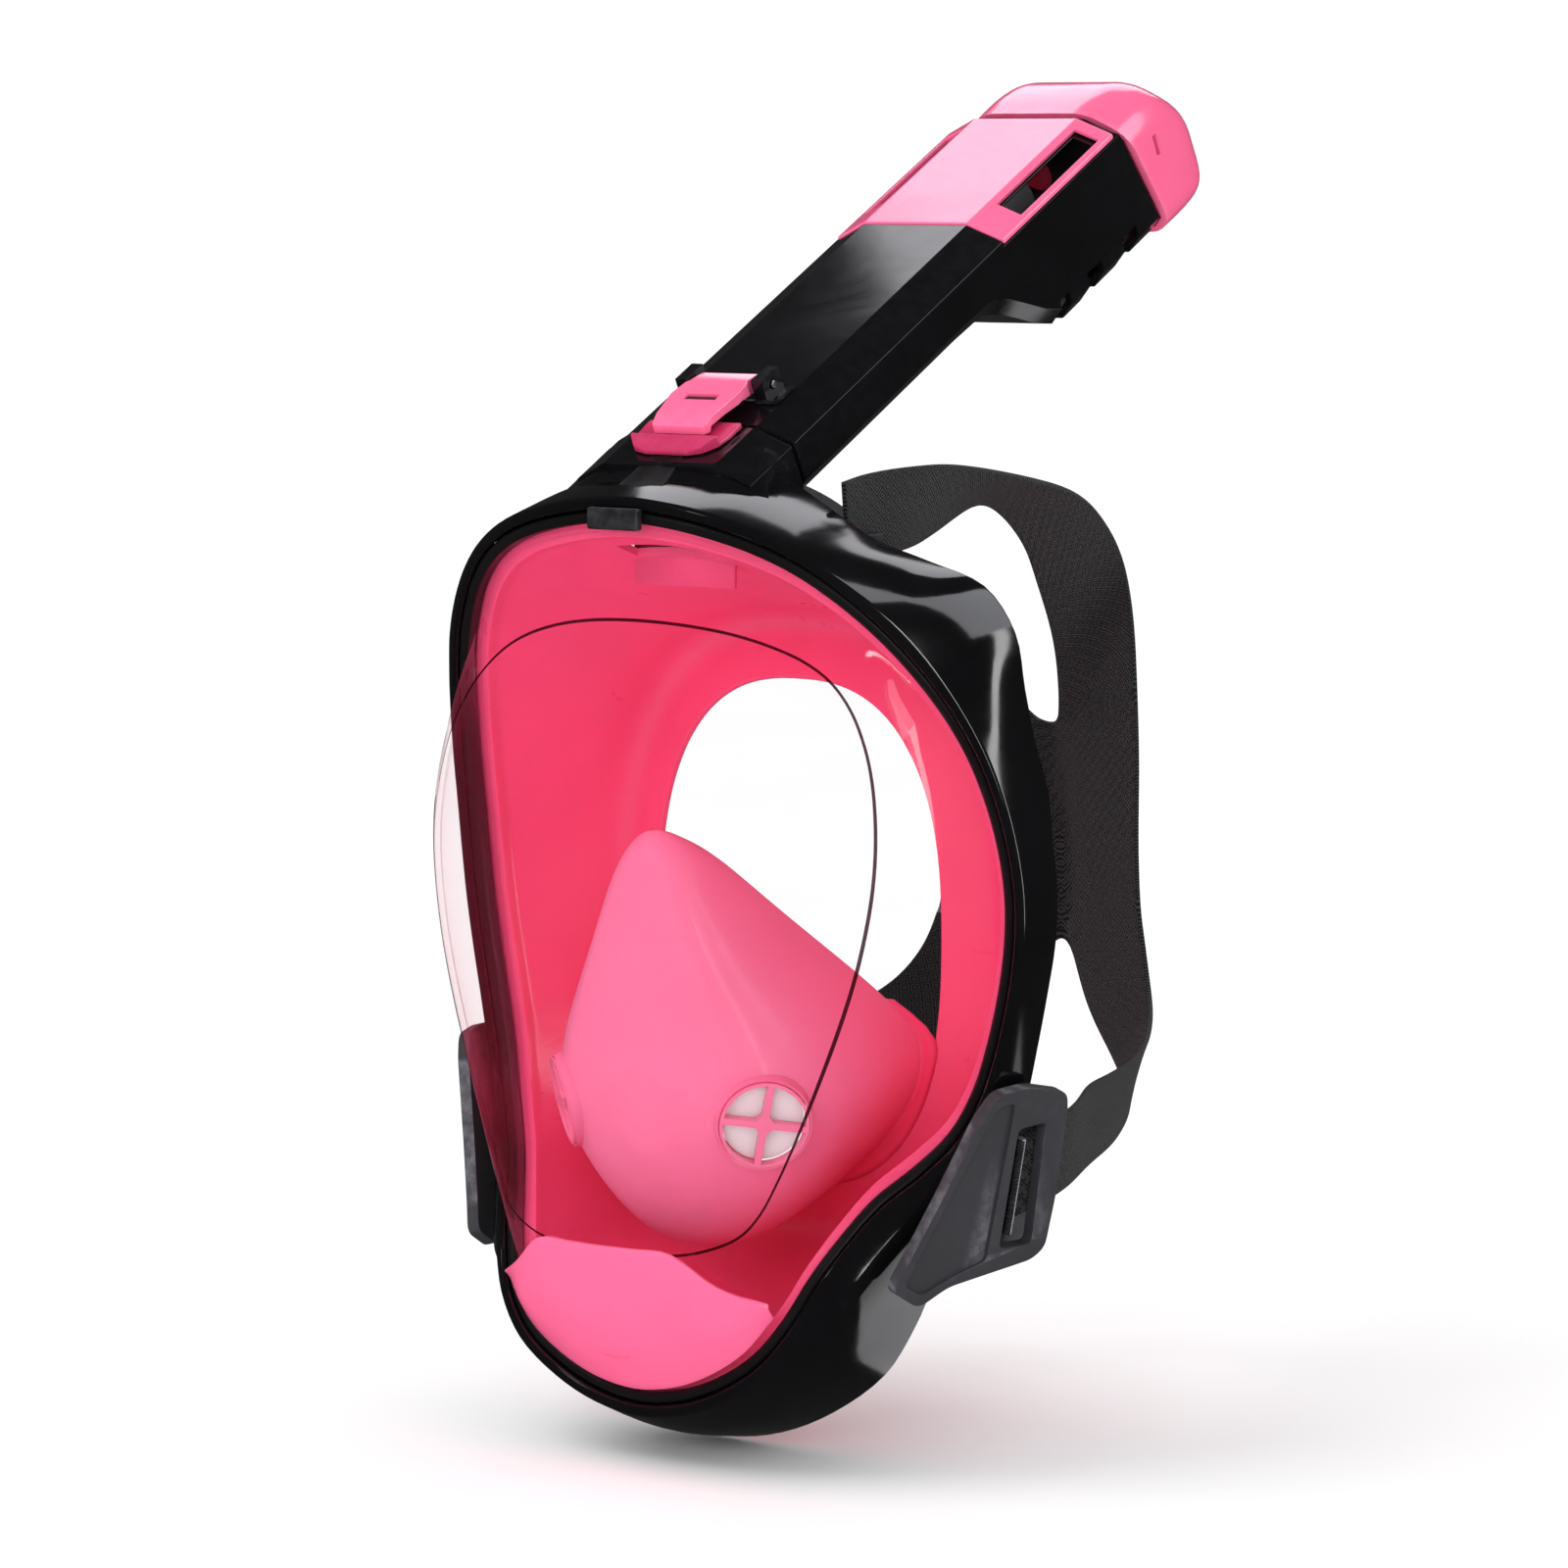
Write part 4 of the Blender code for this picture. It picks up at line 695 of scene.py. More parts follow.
def lens_object():
    coarse = lens_rings()
    rings = [[row[j] for row in refine([[r[i] for r in coarse] for i in range(N)], 4)] for j in range(len(coarse))]
    n = len(rings[0])
    # the shoulder's rows are filled in on smooth curves; the pane starts at a crisp edge
    rows, tags = [], []
    shoulder = [[rings[j][i] for j in range(4)] for i in range(n)]
    dense = []
    for col in shoulder:
        pts = refine([[p] for p in col], 4, closed=False)
        dense.append([p[0] for p in pts])
    for j in range(len(dense[0])):
        rows.append([dense[i][j] for i in range(n)])
    pane_edge = rings[4]
    for k, f in ((0, 0.0), (1, 0.75)):
        rows.append([rows[12][i].lerp(pane_edge[i], 0.72 + 0.28 * f) + Vector((0, -0.25 * f, 0)) for i in range(n)])
    edge_row = len(rows) - 2
    mid = Vector((0, 0, -8.0))
    for f in (0.972, 0.90, 0.80, 0.66, 0.52, 0.38, 0.24, 0.10):
        ring = []
        for i in range(n):
            p = pane_edge[i]
            g = f / 0.985
            q = Vector((p.x * g, 0, mid.z + (p.z - mid.z) * g))
            q.y = (p.y + PANE_CROWN * (1 - 0.985 ** 2)) * g + (1 - g) * (-66.0 - 0.07 * (0 - q.z)) - PANE_CROWN * (1 - f ** 2)
            ring.append(q)
        rows.append(ring)
    verts = [p for r in rows for p in r]
    centre = sum(rows[-1], Vector()) / n
    centre.y = min(p.y for p in rows[-1]) - 0.05
    verts.append(centre)
    faces, idx = [], []
    for r in range(len(rows) - 1):
        for i in range(n):
            j = (i + 1) % n
            faces.append((r * n + i, r * n + j, (r + 1) * n + j, (r + 1) * n + i))
            # the edge row takes the dark-tinted material, a painted shade line
            idx.append(1 if r == edge_row else 0)
    last = (len(rows) - 1) * n
    for i in range(n):
        faces.append((last + i, last + (i + 1) % n, len(verts) - 1))
        idx.append(0)
    me = mesh_from("lens_fine", verts, faces, idx)
    if sum((f.normal.y * f.area for f in me.polygons)) > 0:
        me.flip_normals()
    ob = new_object("lens_fine", me, None, [CLEAR, CLEAR_EDGE_PAINTED_DARK, CLEAR_IN, CLEAR_IN], 24)
    s = ob.modifiers.new("Solidify", "SOLIDIFY")
    s.thickness, s.offset, s.use_quality_normals = LENS_T * MM, -1.0, True
    s.material_offset = 2
    s.material_offset_rim = 0
    apply_modifiers(ob)
    dm = plane_matrix((0, -76.5, -122.0), (0, -0.94, -0.34), (0, 0, 1))
    boolean(ob, [cutter_object(cylinder_mesh("c", 11.4, 14.0), dm)])
    ob.data.shade_smooth()
    ob.data.set_sharp_from_angle(angle=math.radians(24))
    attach(ob, "mask")
    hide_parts("lens")
    return ob


lens_ob = lens_object()


# =====================================================================  skirt
def face_point(i, grow, y):
    c = Vector((0, 0, (FACE_TOP_Z + FACE_BOTTOM_Z) / 2))
    a = math.atan2(RIM[i].z - c.z, RIM[i].x)
    w, h = FACE_HALF_W + grow, (FACE_TOP_Z - FACE_BOTTOM_Z) / 2 + grow
    ca, sa = math.cos(a), math.sin(a)
    r = (abs(ca / w) ** 2.5 + abs(sa / h) ** 2.5) ** (-1 / 2.5)
    return Vector((r * ca, y, c.z + r * sa))


def skirt_section(i):
    outer = [rim_point(i, 3.1, 4.5), rim_point(i, 3.1, 6.7), rim_point(i, -1.2, 6.7), rim_point(i, -2.2, 9.0)]
    back = face_point(i, 22.0, 12.0)
    mid = rim_point(i, -6.0, 15.0).lerp(back, 0.4)
    wall = [mid, back, face_point(i, 15.0, 15.0), face_point(i, 0.0, FACE_Y + 1.0)]
    inner = [face_point(i, 0.6, FACE_Y - 1.0), face_point(i, 14.0, 12.4), face_point(i, 19.2, 10.2),
             mid + (back - mid) * 0.02 - RIM_N[i] * 2.1, rim_point(i, -4.4, 8.6), rim_point(i, -4.2, 4.5)]
    return outer + wall + inner


secs = refine([skirt_section(i) for i in range(N)], 4)
SK_R = [0.3, 0.3, 1.0, 2.5, 9.0, 6.0, 5.0, 0.8, 0.8, 4.0, 5.0, 7.5, 1.2, 0.6]
secs = [round_loop(s, SK_R, 4) for s in secs]
skirt = new_object("face_skirt_fine", ring_mesh("face_skirt_fine", secs), None, PINK_SILICONE)
boolean(skirt, [cutter_object(box_mesh("c", (-14.0, -60.0, 74.0), (14.0, -50.0, 104.0)))])
skirt.data.shade_smooth()
skirt.data.set_sharp_from_angle(angle=math.radians(45))
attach(skirt, "mask")
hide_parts("face_skirt")


# =====================================================================  nose cup
def cup_outline(k, n, w, top, bottom, y_top, y_side, y_bottom, pinch):
    """Pear shaped loop: narrow at the nose's bridge, which stands ahead, wide at the mouth."""
    a = 2 * math.pi * k / n
    c, sn = math.cos(a), math.sin(a)
    h = (top - bottom) / 2
    z = (top + bottom) / 2 + h * c
    up = (z - bottom) / (top - bottom)
    x = w * sn * (1.0 - pinch * smoothstep(0.30, 0.90, up))
    f = max(0.0, (up - 0.42) / 0.58) ** 1.15
    y = y_side + (y_top - y_side) * f + (y_bottom - y_side) * smoothstep(0.4, 0.0, up)
    return Vector((x, y, z))


CUP_N = 96
CUP_RINGS = [(48.2, 8.0, -96.0, -55.0, 2.0, 3.0, 0.50), (48.4, 9.5, -103.0, -59.0, -19.0, -12.0, 0.50),
             (46.0, 9.0, -109.0, -62.5, -39.0, -30.0, 0.48), (39.5, 4.0, -108.0, -66.5, -55.5, -46.0, 0.42),
             (28.5, -8.0, -99.0, -69.5, -64.5, -58.0, 0.28), (12.0, -28.0, -78.0, -70.5, -69.0, -66.0, 0.0)]
VALVE_POS, VALVE_NORMAL = Vector((33.9, -57.0, -69.3)), Vector((0.67, -0.71, -0.22))


def cup_object():
    rings = [[cup_outline(k, CUP_N, *r) for k in range(CUP_N)] for r in CUP_RINGS]
    n = CUP_N
    cols = []
    for k in range(n):
        cols.append([p[0] for p in refine([[r[k]] for r in rings], 5, closed=False)])
    rows = [[cols[k][j] for k in range(n)] for j in range(len(cols[0]))]
    centre = sum(rows[-1], Vector()) / n + Vector((0, -0.3, 0))
    for f in (0.66, 0.33):
        rows.append([centre.lerp(p, f) for p in rows[len(cols[0]) - 1]])
    verts = [p for r in rows for p in r] + [centre]
    faces = []
    for r in range(len(rows) - 1):
        for i in range(n):
            j = (i + 1) % n
            faces.append((r * n + i, (r + 1) * n + i, (r + 1) * n + j, r * n + j))
    last = (len(rows) - 1) * n
    for i in range(n):
        faces.append((last + (i + 1) % n, last + i, len(verts) - 1))
    me = mesh_from("nose_cup_fine", verts, faces)
    if sum(f.normal.y * f.area for f in me.polygons) > 0:
        me.flip_normals()
    ob = new_object("nose_cup_fine", me, None, CUP_SILICONE, None)
    s = ob.modifiers.new("Solidify", "SOLIDIFY")
    s.thickness, s.offset, s.use_quality_normals = 2.0 * MM, -1.0, True
    apply_modifiers(ob)
    cutters = []
    for sx in (1, -1):
        m = plane_matrix((VALVE_POS.x * sx, VALVE_POS.y, VALVE_POS.z), Vector((VALVE_NORMAL.x * sx, VALVE_NORMAL.y, VALVE_NORMAL.z)), (0, 0, 1))
        cutters.append(cutter_object(cylinder_mesh("c", 12.9, 26.0), m))
    boolean(ob, cutters)
    ob.data.shade_smooth()
    ob.data.set_sharp_from_angle(angle=math.radians(40))
    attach(ob, "mask")
    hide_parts("nose_cup")
    return ob


cup = cup_object()


def washer_mesh(name, r_in, r_out, t, seg=64):
    """A flat ring with softly sloped outer face, its axis on Z."""
    prof = [(r_in, -t / 2), (r_in, t / 2), (r_in + 0.7, t / 2 + 0.25), ((r_in + r_out) / 2, t / 2 + 0.1), (r_out, -t / 2 + 0.2), (r_out, -t / 2)]
    secs = [[Vector((r * math.cos(2 * math.pi * k / seg), r * math.sin(2 * math.pi * k / seg), z)) for r, z in prof] for k in range(seg)]
    return ring_mesh(name, secs)


for side, sx in (("left", 1), ("right", -1)):
    m = plane_matrix((VALVE_POS.x * sx, VALVE_POS.y, VALVE_POS.z), Vector((VALVE_NORMAL.x * sx, VALVE_NORMAL.y, VALVE_NORMAL.z)), (0, 0, 1))
    collar = new_object("cup_valve_collar_" + side, washer_mesh("cup_valve_collar_" + side, 12.6, 14.0, 5.0), None, CUP_SILICONE, 50)
    collar.matrix_world = m @ Matrix.Translation((0, 0, -1.7 * MM))
    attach(collar, "mask")


def cup_flange():
    """Thin web that joins the rear edge of the cup to the lip of the skirt, below the nose."""
    c = Vector((0, 0, (FACE_TOP_Z + FACE_BOTTOM_Z) / 2))
    rows = []
    for k in range(CUP_N):
        p = cup_outline(k, CUP_N, *CUP_RINGS[0])
        if p.z > -40.0:
            continue
        reach = smoothstep(-38.0, -56.0, p.z)
        a = math.atan2(p.z - c.z, p.x)
        w, h = FACE_HALF_W + 1.6, (FACE_TOP_Z - FACE_BOTTOM_Z) / 2 + 1.6
        r = (abs(math.cos(a) / w) ** 2.5 + abs(math.sin(a) / h) ** 2.5) ** (-1 / 2.5)
        q = Vector((r * math.cos(a), 6.9, c.z + r * math.sin(a)))
        inner = p + (c - p).normalized() * 0.8 + Vector((0, -0.6, 0))
        q = inner.lerp(q, 0.12 + 0.88 * reach)
        rows.append([inner, inner.lerp(q, 0.35) + Vector((0, 0.5, 0)), inner.lerp(q, 0.7) + Vector((0, 0.4, 0)), q])
    n = len(rows[0])
    faces = [(r * n + c2, r * n + c2 + 1, (r + 1) * n + c2 + 1, (r + 1) * n + c2) for r in range(len(rows) - 1) for c2 in range(n - 1)]
    me = mesh_from("cup_flange", [p for r in rows for p in r], faces)
    ob = new_object("cup_flange", me, None, PINK_SILICONE, None)
    so = ob.modifiers.new("Solidify", "SOLIDIFY")
    so.thickness, so.offset = 0.9 * MM, 0.0
    apply_modifiers(ob)
    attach(ob, "mask")


cup_flange()

# back wall of the air inlet behind the skirt's port
shade = new_object("inlet_wall", box_mesh("inlet_wall", (-17.0, -47.6, 76.0), (17.0, -46.2, 105.0)), None, PINK_SILICONE, None)
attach(shade, "mask")


# =====================================================================  chin cover
def chin_cover_grid():
    low = [i for i in range(N) if RIM[i].z < -114.0]
    low.sort(key=lambda i: RIM[i].x)
    nu, nv = len(low), 7
    rows = []
    for a, i in enumerate(low):
        u = 2.0 * a / (nu - 1) - 1.0
        bottom = rim_point(i, -1.0, -2.6)
        flat = 1.0 - smoothstep(0.42, 1.0, abs(u))
        top = Vector((u * 45.5, -71.5 - 18.0 * (1 - abs(u) ** 2.2), -117.0 + 15.0 * flat))
        col = []
        for v in range(nv):
            f = v / (nv - 1)
            bulge = math.sin(math.pi * f) * (1 - abs(u) ** 3)
            col.append(top.lerp(bottom, f) + Vector((0, -4.2 * bulge, -1.6 * bulge)))
        rows.append(col)
    return rows


def chin_object():
    rows = refine(chin_cover_grid(), 4, closed=False)
    nv = len(rows[0])
    cols = []
    for row in rows:
        cols.append([p[0] for p in refine([[p] for p in row], 3, closed=False)])
    nv = len(cols[0])
    verts = [p for c in cols for p in c]
    faces = [(a * nv + b, a * nv + b + 1, (a + 1) * nv + b + 1, (a + 1) * nv + b) for a in range(len(cols) - 1) for b in range(nv - 1)]
    me = mesh_from("chin_cover_fine", verts, faces)
    if sum(f.normal.y * f.area for f in me.polygons) > 0:
        me.flip_normals()
    ob = new_object("chin_cover_fine", me, None, PINK_PLASTIC, None)
    s = ob.modifiers.new("Solidify", "SOLIDIFY")
    s.thickness, s.offset, s.use_quality_normals = 2.0 * MM, -1.0, True
    bevel(ob, 0.6, 3, 50)
    apply_modifiers(ob)
    ob.data.shade_smooth()
    ob.data.set_sharp_from_angle(angle=math.radians(50))
    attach(ob, "mask")
    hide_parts("chin_cover")
    return ob


chin = chin_object()

# =====================================================================  strap
STRAP_T = 1.6
UPPER_ARM = [((43.6, -33.5, 105.5), (45.2, -33.5, 84.0)), ((44.4, -22.0, 107.4), (46.0, -22.0, 84.4)),
             ((47.6, -6.0, 108.6), (47.0, -6.0, 86.2)),
             ((50.2, 14.0, 108.2), (43.6, 12.5, 90.0)), ((52.0, 45.0, 103.2), (37.5, 44.0, 96.0)),
             ((50.4, 73.0, 97.6), (31.5, 73.0, 84.0)), ((46.6, 94.0, 89.0), (24.5, 94.0, 68.0)),
             ((43.4, 110.5, 76.0), (17.5, 113.0, 51.0)), ((41.6, 119.0, 58.0), (10.5, 127.0, 35.0)),
             ((39.6, 124.5, 34.0), (4.0, 137.5, 24.0))]
LOWER_ARM = [((35.0, 134.0, -30.0), (4.0, 146.0, -46.0)), ((40.5, 130.0, -48.0), (13.0, 142.0, -64.0)),
             ((49.0, 119.0, -61.0), (28.0, 134.0, -79.0)), ((59.5, 96.0, -67.5), (45.0, 113.0, -86.5)),
             ((69.6, 65.0, -68.0), (62.6, 77.0, -90.0)), ((80.6, 35.5, -66.5), (77.0, 39.5, -90.5)),
             ((93.4, 5.6, -68.0), (88.2, 7.2, -92.2)), ((88.5, -14.4, -74.4), (82.7, -12.8, -98.2))]
WEB = [((37.4, 129.5, 12.0), (0.0, 143.0, 10.0)), ((34.4, 133.5, -9.0), (0.0, 145.5, -12.0))]


def strap_object():
    steps, cols = 3, 4

    def fine_pairs(st):
        st = [(Vector(a), Vector(b)) for a, b in st]
        return refine([[a, b] for a, b in st], steps, closed=False)
    up, low = fine_pairs(UPPER_ARM), fine_pairs(LOWER_ARM)
    verts, faces, uvs = [], [], {}
    length = [0.0]

    def add(p, u, v):
        verts.append(p)
        uvs[len(verts) - 1] = (u * MM, v * MM)
        return len(verts) - 1

    def strip(pairs, start):
        rows, u, last = [], start, None
        for a, b in pairs:
            c = (a + b) / 2
            if last is not None:
                u += (c - last).length
            last = c
            w = (a - b).length
            rows.append([add(a.lerp(b, q / cols), u, w * q / cols) for q in range(cols + 1)])
        for r in range(len(rows) - 1):
            for q in range(cols):
                faces.append((rows[r][q], rows[r][q + 1], rows[r + 1][q + 1], rows[r + 1][q]))
        return rows, u
    ru, u1 = strip(up, 0.0)
    web_rows = [ru[-1]]
    us = [u1 + 22.0, u1 + 44.0]
    for e, u in zip(WEB, us):
        a, b = Vector(e[0]), Vector(e[1])
        web_rows.append([add(a.lerp(b, q / cols), u, (a - b).length * q / cols) for q in range(cols)] + [None])
    rl, _ = strip(low, u1 + 66.0)
    web_rows.append(rl[0])
    ct = add(Vector((0.0, 139.5, 22.5)), u1, 40.0)
    cm1 = add(Vector((0.0, 143.6, 8.0)), us[0], 42.0)
    cm2 = add(Vector((0.0, 146.5, -14.0)), us[1], 35.0)
    cb = add(Vector((0.0, 147.0, -43.0)), u1 + 66.0, 37.0)
    web_rows[1][cols] = add(Vector((4.2, 142.6, 8.2)), us[0], 38.0)
    web_rows[2][cols] = add(Vector((6.0, 145.8, -14.0)), us[1], 29.0)
    for r in range(3):
        for c in range(cols):
            faces.append((web_rows[r][c], web_rows[r][c + 1], web_rows[r + 1][c + 1], web_rows[r + 1][c]))
    mids = [ct, cm1, cm2, cb]
    for r in range(3):
        faces.append((web_rows[r][cols], mids[r], mids[r + 1], web_rows[r + 1][cols]))
    me = mesh_from("head_strap_fine", verts, faces)
    layer = me.uv_layers.new(name="weave")
    for loop in me.loops:
        layer.data[loop.index].uv = uvs[loop.vertex_index]
    ob = new_object("head_strap_fine", me, None, WEBBING, None)
    mir = ob.modifiers.new("Mirror", "MIRROR")
    mir.use_axis = (True, False, False)
    mir.use_clip = True
    mir.merge_threshold = 0.0001
    sub = ob.modifiers.new("Sub", "SUBSURF")
    sub.levels = sub.render_levels = 2
    sub.boundary_smooth = "PRESERVE_CORNERS"
    so = ob.modifiers.new("Solidify", "SOLIDIFY")
    so.thickness, so.offset = STRAP_T * MM, 0.0
    bevel(ob, 0.35, 2, 60)
    apply_modifiers(ob)
    ob.data.shade_smooth()
    ob.data.set_sharp_from_angle(angle=math.radians(60))
    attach(ob, "mask")
    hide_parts("head_strap")
    return ob


strap = strap_object()

# =====================================================================  pieces kept from CAD, with rounded edges
for node in ("snorkel_tube", "snorkel_socket"):
    fine(node, GLOSS_BLACK, 0.45, 3, 18)
fine("latch_bracket", GLOSS_BLACK, 0.4, 3, 25)
fine("top_clip", SATIN_BLACK, 0.0)
for node in ("strap_lug_left", "strap_lug_right"):
    fine(node, SATIN_BLACK, 0.0)
fine("drain_valve_seat", SATIN_BLACK, 0.3, 2, 40)
fine("exhaust_valve_seat", CRIMSON, 0.3, 2, 40)
for node in ("socket_gasket", "float_seat_gasket"):
    fine(node, RUBBER, 0.3, 2, 40)
for node in ("vent_collar", "latch_lever"):
    fine(node, PINK_PLASTIC, 0.5, 3, 20)
CAP_S0 = 209.0
# each station: s and t of the front, s and t of the rear, half width, half width of the front face
CAP_ROWS = [(CAP_S0, 0.0, CAP_S0 + 12.7, -46.5, 29.8, 18.0), (220.0, 0.1, 230.0, -46.6, 29.9, 18.2), (230.0, -1.0, 237.0, -46.5, 29.8, 18.0),
            (238.0, -4.6, 242.0, -46.0, 29.4, 17.6), (243.4, -10.5, 245.2, -44.6, 28.4, 17.0), (246.6, -18.0, 247.0, -41.0, 26.0, 15.0),
            (248.0, -25.0, 248.0, -35.0, 19.0, 10.0)]


def cap_loop(row, inset=0.0):
    """Outline of one station; the points lean with the line from its front to its rear."""
    s0, t0, s1, t1, hw, fw = row
    i = inset
    side = max(BEVEL_D, 0.2 * (t0 - t1))
    pts = [(-fw + i * 0.4, t0 - i), (fw - i * 0.4, t0 - i), (hw - i, t0 - side - i * 0.4), (hw - i, t1 + 5 + i * 0.4),
           (hw - 5 - i * 0.4, t1 + i), (-hw + 5 + i * 0.4, t1 + i), (-hw + i, t1 + 5 + i * 0.4), (-hw + i, t0 - side - i * 0.4)]
    return [tube_pt(x, s0 + (s1 - s0) * (t0 - t) / (t0 - t1), t) for x, t in pts]


CAP_RADII = [5.0, 5.0, 6.0, 5.0, 4.0, 4.0, 5.0, 6.0]
rows = [round_loop(r, CAP_RADII, 5) for r in refine([cap_loop(r) for r in CAP_ROWS], 4, closed=False)]
cap_ob = new_object("top_cap_fine", loft_mesh("top_cap_fine", rows), None, PINK_PLASTIC, None)
bore_rows = [(r[0] - 4.0, r[1], r[2] - 4.0, r[3], r[4], r[5]) for r in CAP_ROWS[:1]] + [(r[0] - 2.6, r[1], r[2] - 2.6, r[3], r[4], r[5]) for r in CAP_ROWS[1:5]]
boolean(cap_ob, [cutter_object(loft_mesh("c", [cap_loop(r, 2.3) for r in bore_rows])),
                 cutter_object(box_mesh("c", (SIDE_HW - 5, 223.0, -21.5), (SIDE_HW + 3, 225.0, -15.0)), tube_matrix(0, 0))])
cap_ob.data.shade_smooth()
cap_ob.data.set_sharp_from_angle(angle=math.radians(34))
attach(cap_ob, "snorkel")
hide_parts("top_cap")
fine("latch_catch", CRIMSON, 0.4, 3, 25)


def wider_windows(side):
    """Opens the seat's four windows out to a thin rim, as far as the moulded cross allows."""
    sx = 1 if side == "left" else -1
    m = plane_matrix((VALVE_POS.x * sx, VALVE_POS.y, VALVE_POS.z), Vector((VALVE_NORMAL.x * sx, VALVE_NORMAL.y, VALVE_NORMAL.z)), (0, 0, 1))

    def work(ob):
        cutters = []
        for q in range(4):
            a, half = math.radians(45 + 90 * q - 8 * sx), math.radians(40.5)
            pts = [Vector((2.7 * math.cos(a + half * f), 2.7 * math.sin(a + half * f), 0)) for f in (-0.62, 0.62)]
            pts += [Vector((11.6 * math.cos(a + half * f), 11.6 * math.sin(a + half * f), 0)) for f in (1, 0.6, 0.2, -0.2, -0.6, -1)]
            cutters.append(cutter_object(loft_mesh("c", [[p + Vector((0, 0, z)) for p in pts] for z in (-5.0, 5.0)]), m))
        boolean(ob, cutters)
    return work


def buckle_recess(side):
    """Sunk panel ahead of the slot."""
    sx = 1 if side == "left" else -1
    nrm = Vector((0.93 * sx, -0.25, -0.25)).normalized()
    m = plane_matrix(Vector((86.0 * sx, -19.6, -88.4)) + nrm, nrm, (0, 0, 1))
    fx = 1 if (m.to_3x3() @ Vector((1, 0, 0))).y > 0 else -1
    panel = [(-10.2, 24.5), (-7.4, 27.6), (-2.2, 27.8), (-2.4, -19.0), (-14.0, -22.2), (-24.2, -26.6), (-31.0, -23.0), (-28.2, -16.0), (-19.6, 3.2)]

    def work(ob):
        pts = [Vector((x * fx, y, 0.0)) for x, y in panel]
        if fx < 0:
            pts.reverse()
        pts = round_loop(pts, 2.0, 3)
        ob.data.transform(ob.matrix_world)
        ob.matrix_world = Matrix.Identity(4)
        boolean(ob, [cutter_object(loft_mesh("c", [[p + Vector((0, 0, z)) for p in pts] for z in (0.9, 4.0)]), m)])
    return work


for side in ("left", "right"):
    fine("inhale_valve_seat_" + side, CUP_PLASTIC, 0.3, 3, 40, extra=wider_windows(side))
    fine("inhale_flap_" + side, WHITE_FILM, 0.2, 2, 40)
    fine("buckle_" + side, GREY_PLASTIC, 0.45, 3, 40, extra=buckle_recess(side))
    fine("buckle_bar_" + side, STEEL, 0.25, 2, 40)
slit = new_object("lever_slot_shade", box_mesh("lever_slot_shade", (-5.7, 23.2, 5.2), (5.7, 26.2, 6.5)), None, SATIN_BLACK, None)
slit.matrix_world = tube_matrix(0, 0)
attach(slit, "latch")

for side, sx in (("left", 1), ("right", -1)):
    nrm = Vector((0.93 * sx, -0.25, -0.25)).normalized()
    m = plane_matrix(Vector((86.0 * sx, -19.6, -88.4)) + nrm, nrm, (0, 0, 1))
    fx = 1 if (m.to_3x3() @ Vector((1, 0, 0))).y > 0 else -1
    # folded end of the strap behind the slot
    fold = new_object("strap_fold_" + side, box_mesh("strap_fold_" + side, (-1.8, -20.0, -6.0), (16.6, 22.0, -4.3)), None, SATIN_BLACK, None)
    fold.matrix_world = m @ Matrix.Scale(fx, 4, (1, 0, 0))
    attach(fold, "mask")
fine("drain_flap", WHITE_FILM, 0.2, 2, 40)
fine("exhaust_flap", WHITE_FILM, 0.2, 2, 40)
fine("float_valve", FLOAT_GREY, 0.0)
fine("snorkel_hinge_pin", STEEL, 0.3, 3, 40)
fine("latch_pin", STEEL, 0.3, 3, 40)

# =====================================================================  stage, light and camera
TARGET = Vector((0, 0, 0.0168))
AZ, EL, DIST, FOCAL = math.radians(35.5), math.radians(6.4), 1.611, 5800 / 1600 * 36
back_to_camera = Vector((math.sin(AZ) * math.cos(EL), -math.cos(AZ) * math.cos(EL), math.sin(EL)))
cam = bpy.data.cameras.new("camera")
cam.sensor_width, cam.lens, cam.clip_end = 36.0, FOCAL, 60.0
cam_ob = bpy.data.objects.new("camera", cam)
SCENE.collection.objects.link(cam_ob)
cam_ob.location = TARGET + back_to_camera * DIST
cam_ob.rotation_euler = (-back_to_camera).to_track_quat("-Z", "Y").to_euler()
SCENE.camera = cam_ob
SCENE.view_settings.view_transform = "Standard"
SCENE.view_settings.look = "None"

FLOOR_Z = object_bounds()[0][2] - 0.0006


def floor_material():
    M = Mat("pale_floor")
    t = M.noise(6.0, 3.0, 0.5)
    M.link(M.ramp(t, [(0.3, (0.93, 0.93, 0.935)), (0.7, (0.96, 0.96, 0.962))]), M.b.inputs["Base Color"])
    M.b.inputs["Roughness"].default_value = 0.7
    M.b.inputs["Specular IOR Level"].default_value = 0.1
    M.bump(M.noise(900.0, 2.0, 0.5), 0.03, 0.0001)
    return M.m


bm = bmesh.new()
bmesh.ops.create_grid(bm, x_segments=8, y_segments=8, size=30.0)
me = bpy.data.meshes.new("floor")
bm.to_mesh(me)
bm.free()
me.materials.append(floor_material())
floor = bpy.data.objects.new("floor", me)
floor.location = (0, 0, FLOOR_Z)
SCENE.collection.objects.link(floor)
floor.visible_glossy = False

world = bpy.data.worlds.new("studio")
world.use_nodes = True
SCENE.world = world
wn = world.node_tree
bg = wn.nodes["Background"]
bg.inputs["Color"].default_value = (1, 1, 1, 1)
lp = wn.nodes.new("ShaderNodeLightPath")


def wmath(op, a, b):
    n = wn.nodes.new("ShaderNodeMath")
    n.operation = op
    for k, v in enumerate((a, b)):
        if isinstance(v, (int, float)):
            n.inputs[k].default_value = v
        else:
            wn.links.new(v, n.inputs[k])
    return n.outputs[0]


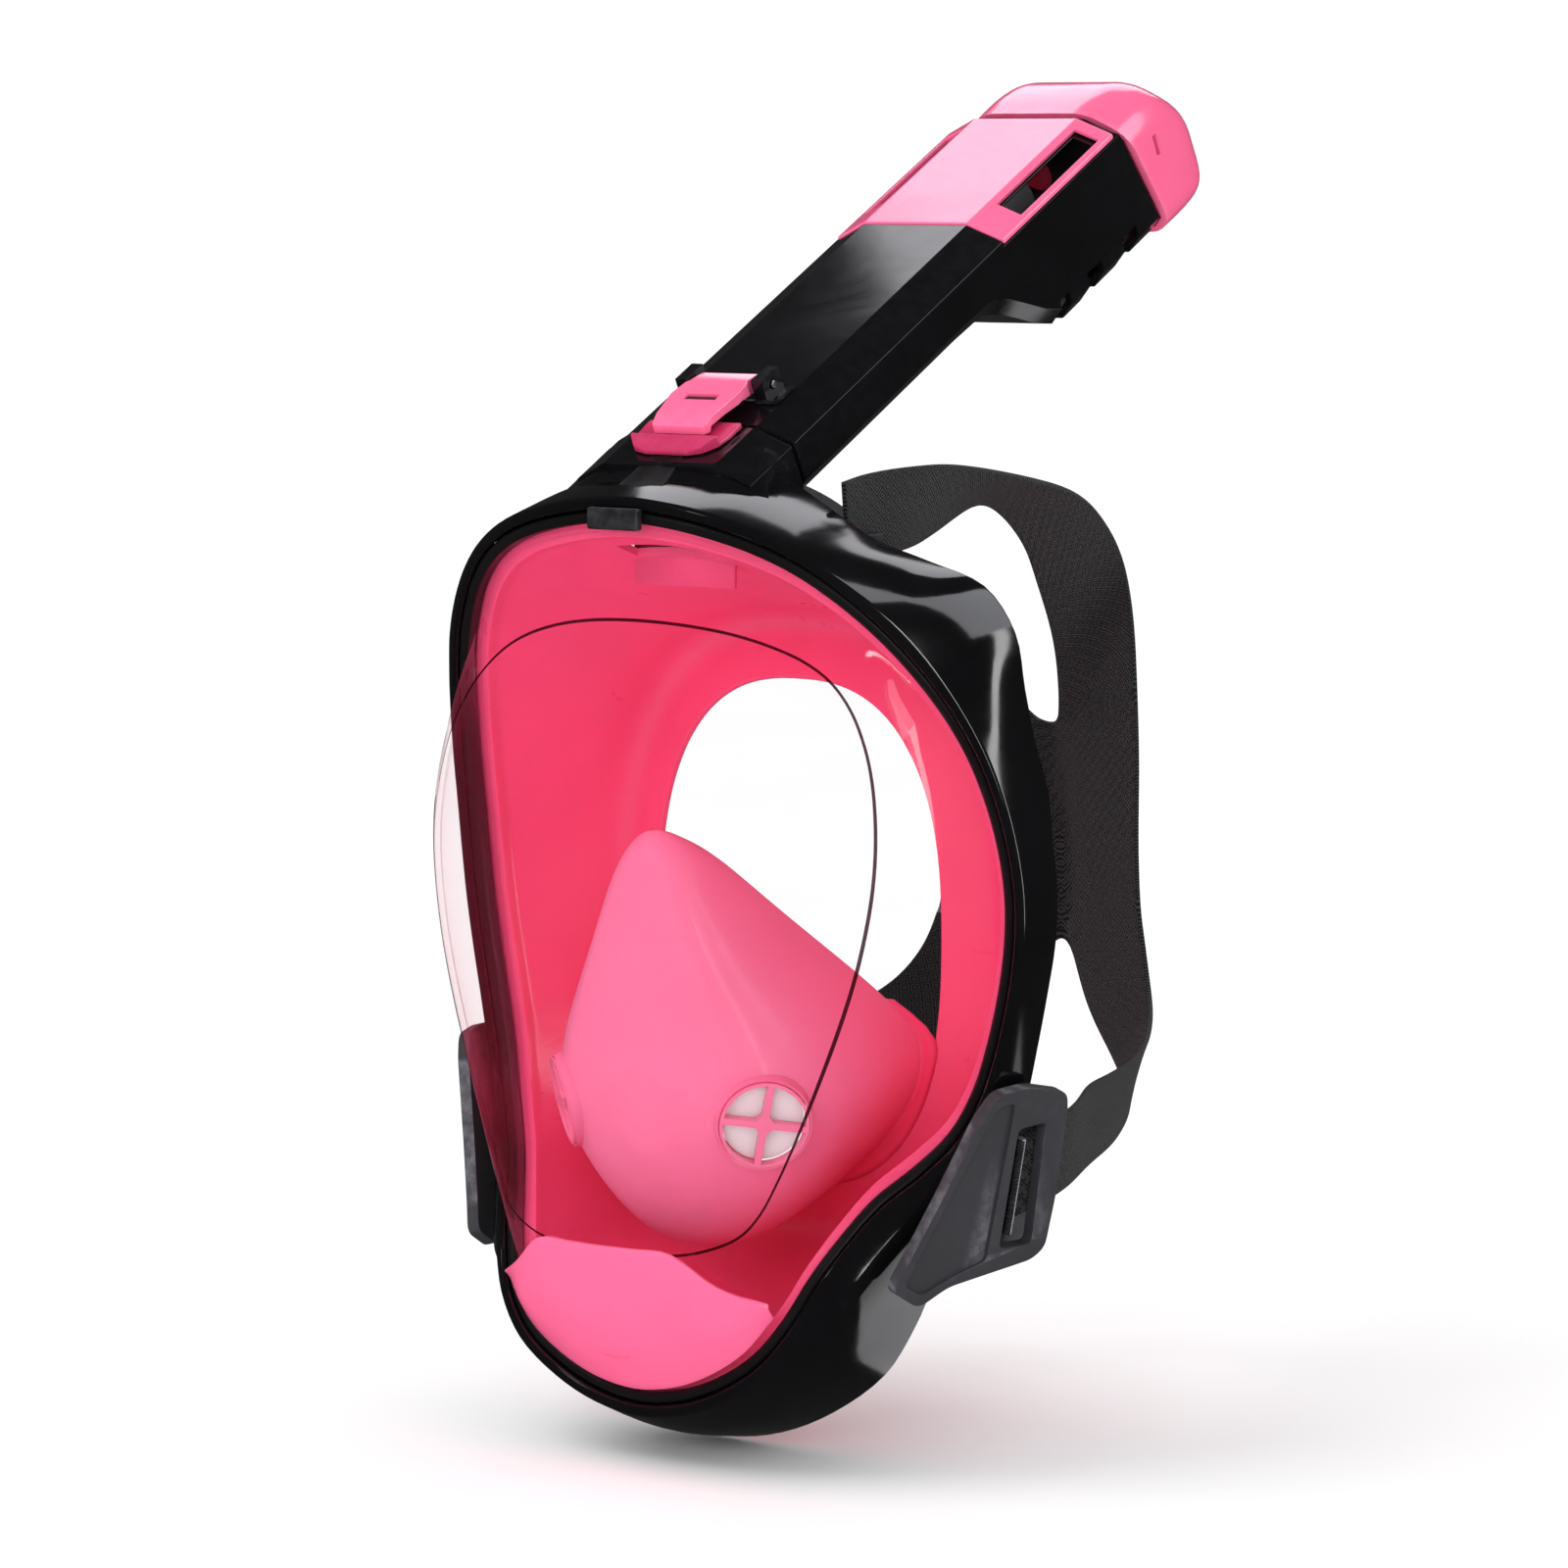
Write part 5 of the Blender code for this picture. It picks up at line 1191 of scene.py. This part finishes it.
# a plain white surround for the eye and for soft fill, and a dim one in mirror gloss
WORLD_FILL, WORLD_GLOSS = 0.98, 0.03
gl = wmath("MULTIPLY", lp.outputs["Is Glossy Ray"], WORLD_GLOSS - WORLD_FILL)
cm = wmath("MULTIPLY", lp.outputs["Is Camera Ray"], 1.02 - WORLD_FILL)
wn.links.new(wmath("ADD", WORLD_FILL, wmath("ADD", gl, cm)), bg.inputs["Strength"])
world.cycles.sampling_method = "NONE"


def area(name, direction, distance, size, radiance, colour=(1, 1, 1), diffuse=True, glossy=True, look=TARGET, up="Y"):
    """A softbox that faces the object; radiance is what a mirror would show of it."""
    li = bpy.data.lights.new(name, "AREA")
    li.shape, li.size, li.size_y = "RECTANGLE", size[0], size[1]
    li.energy = radiance * math.pi * size[0] * size[1]
    li.color = colour
    ob = bpy.data.objects.new(name, li)
    SCENE.collection.objects.link(ob)
    d = Vector(direction).normalized()
    ob.location = look + d * distance
    ob.rotation_euler = (-d).to_track_quat("-Z", up).to_euler()
    ob.visible_camera = False
    ob.visible_diffuse = diffuse
    ob.visible_glossy = glossy
    return ob


sun = bpy.data.lights.new("key_sun", "SUN")
sun.energy, sun.angle = 0.9, math.radians(40)
sun_ob = bpy.data.objects.new("key_sun", sun)
SCENE.collection.objects.link(sun_ob)
sun_ob.rotation_euler = Vector((0.55, 0.45, -1.0)).to_track_quat("-Z", "Y").to_euler()
sun_ob.visible_glossy = False

area("card_top", (-0.349, 0.656, 0.669), 1.8, (0.95, 0.80), 2.6, (0.95, 0.95, 1.0), diffuse=False)
area("card_over", (0.68, 0.34, 0.60), 1.8, (1.15, 1.15), 3.4, (0.93, 0.94, 1.0), diffuse=False)
area("card_low", (0.33, 0.72, -0.60), 1.4, (1.1, 0.55), 1.2, (0.97, 0.97, 1.0), diffuse=False)
area("card_shoulder", (0.906, 0.42, 0.05), 1.7, (0.16, 1.1), 8.0, diffuse=False)
area("card_streak", (0.93, -0.33, 0.10), 1.7, (0.14, 1.1), 12.0, diffuse=False)
area("card_spot", (-0.30, -0.80, 0.62), 1.9, (0.22, 0.10), 12.0, diffuse=False)
area("fill_front", (0.30, -0.93, 0.20), 2.2, (1.4, 1.2), 2.6, diffuse=True, glossy=False)

# =====================================================================  close
bpy.context.view_layer.update()
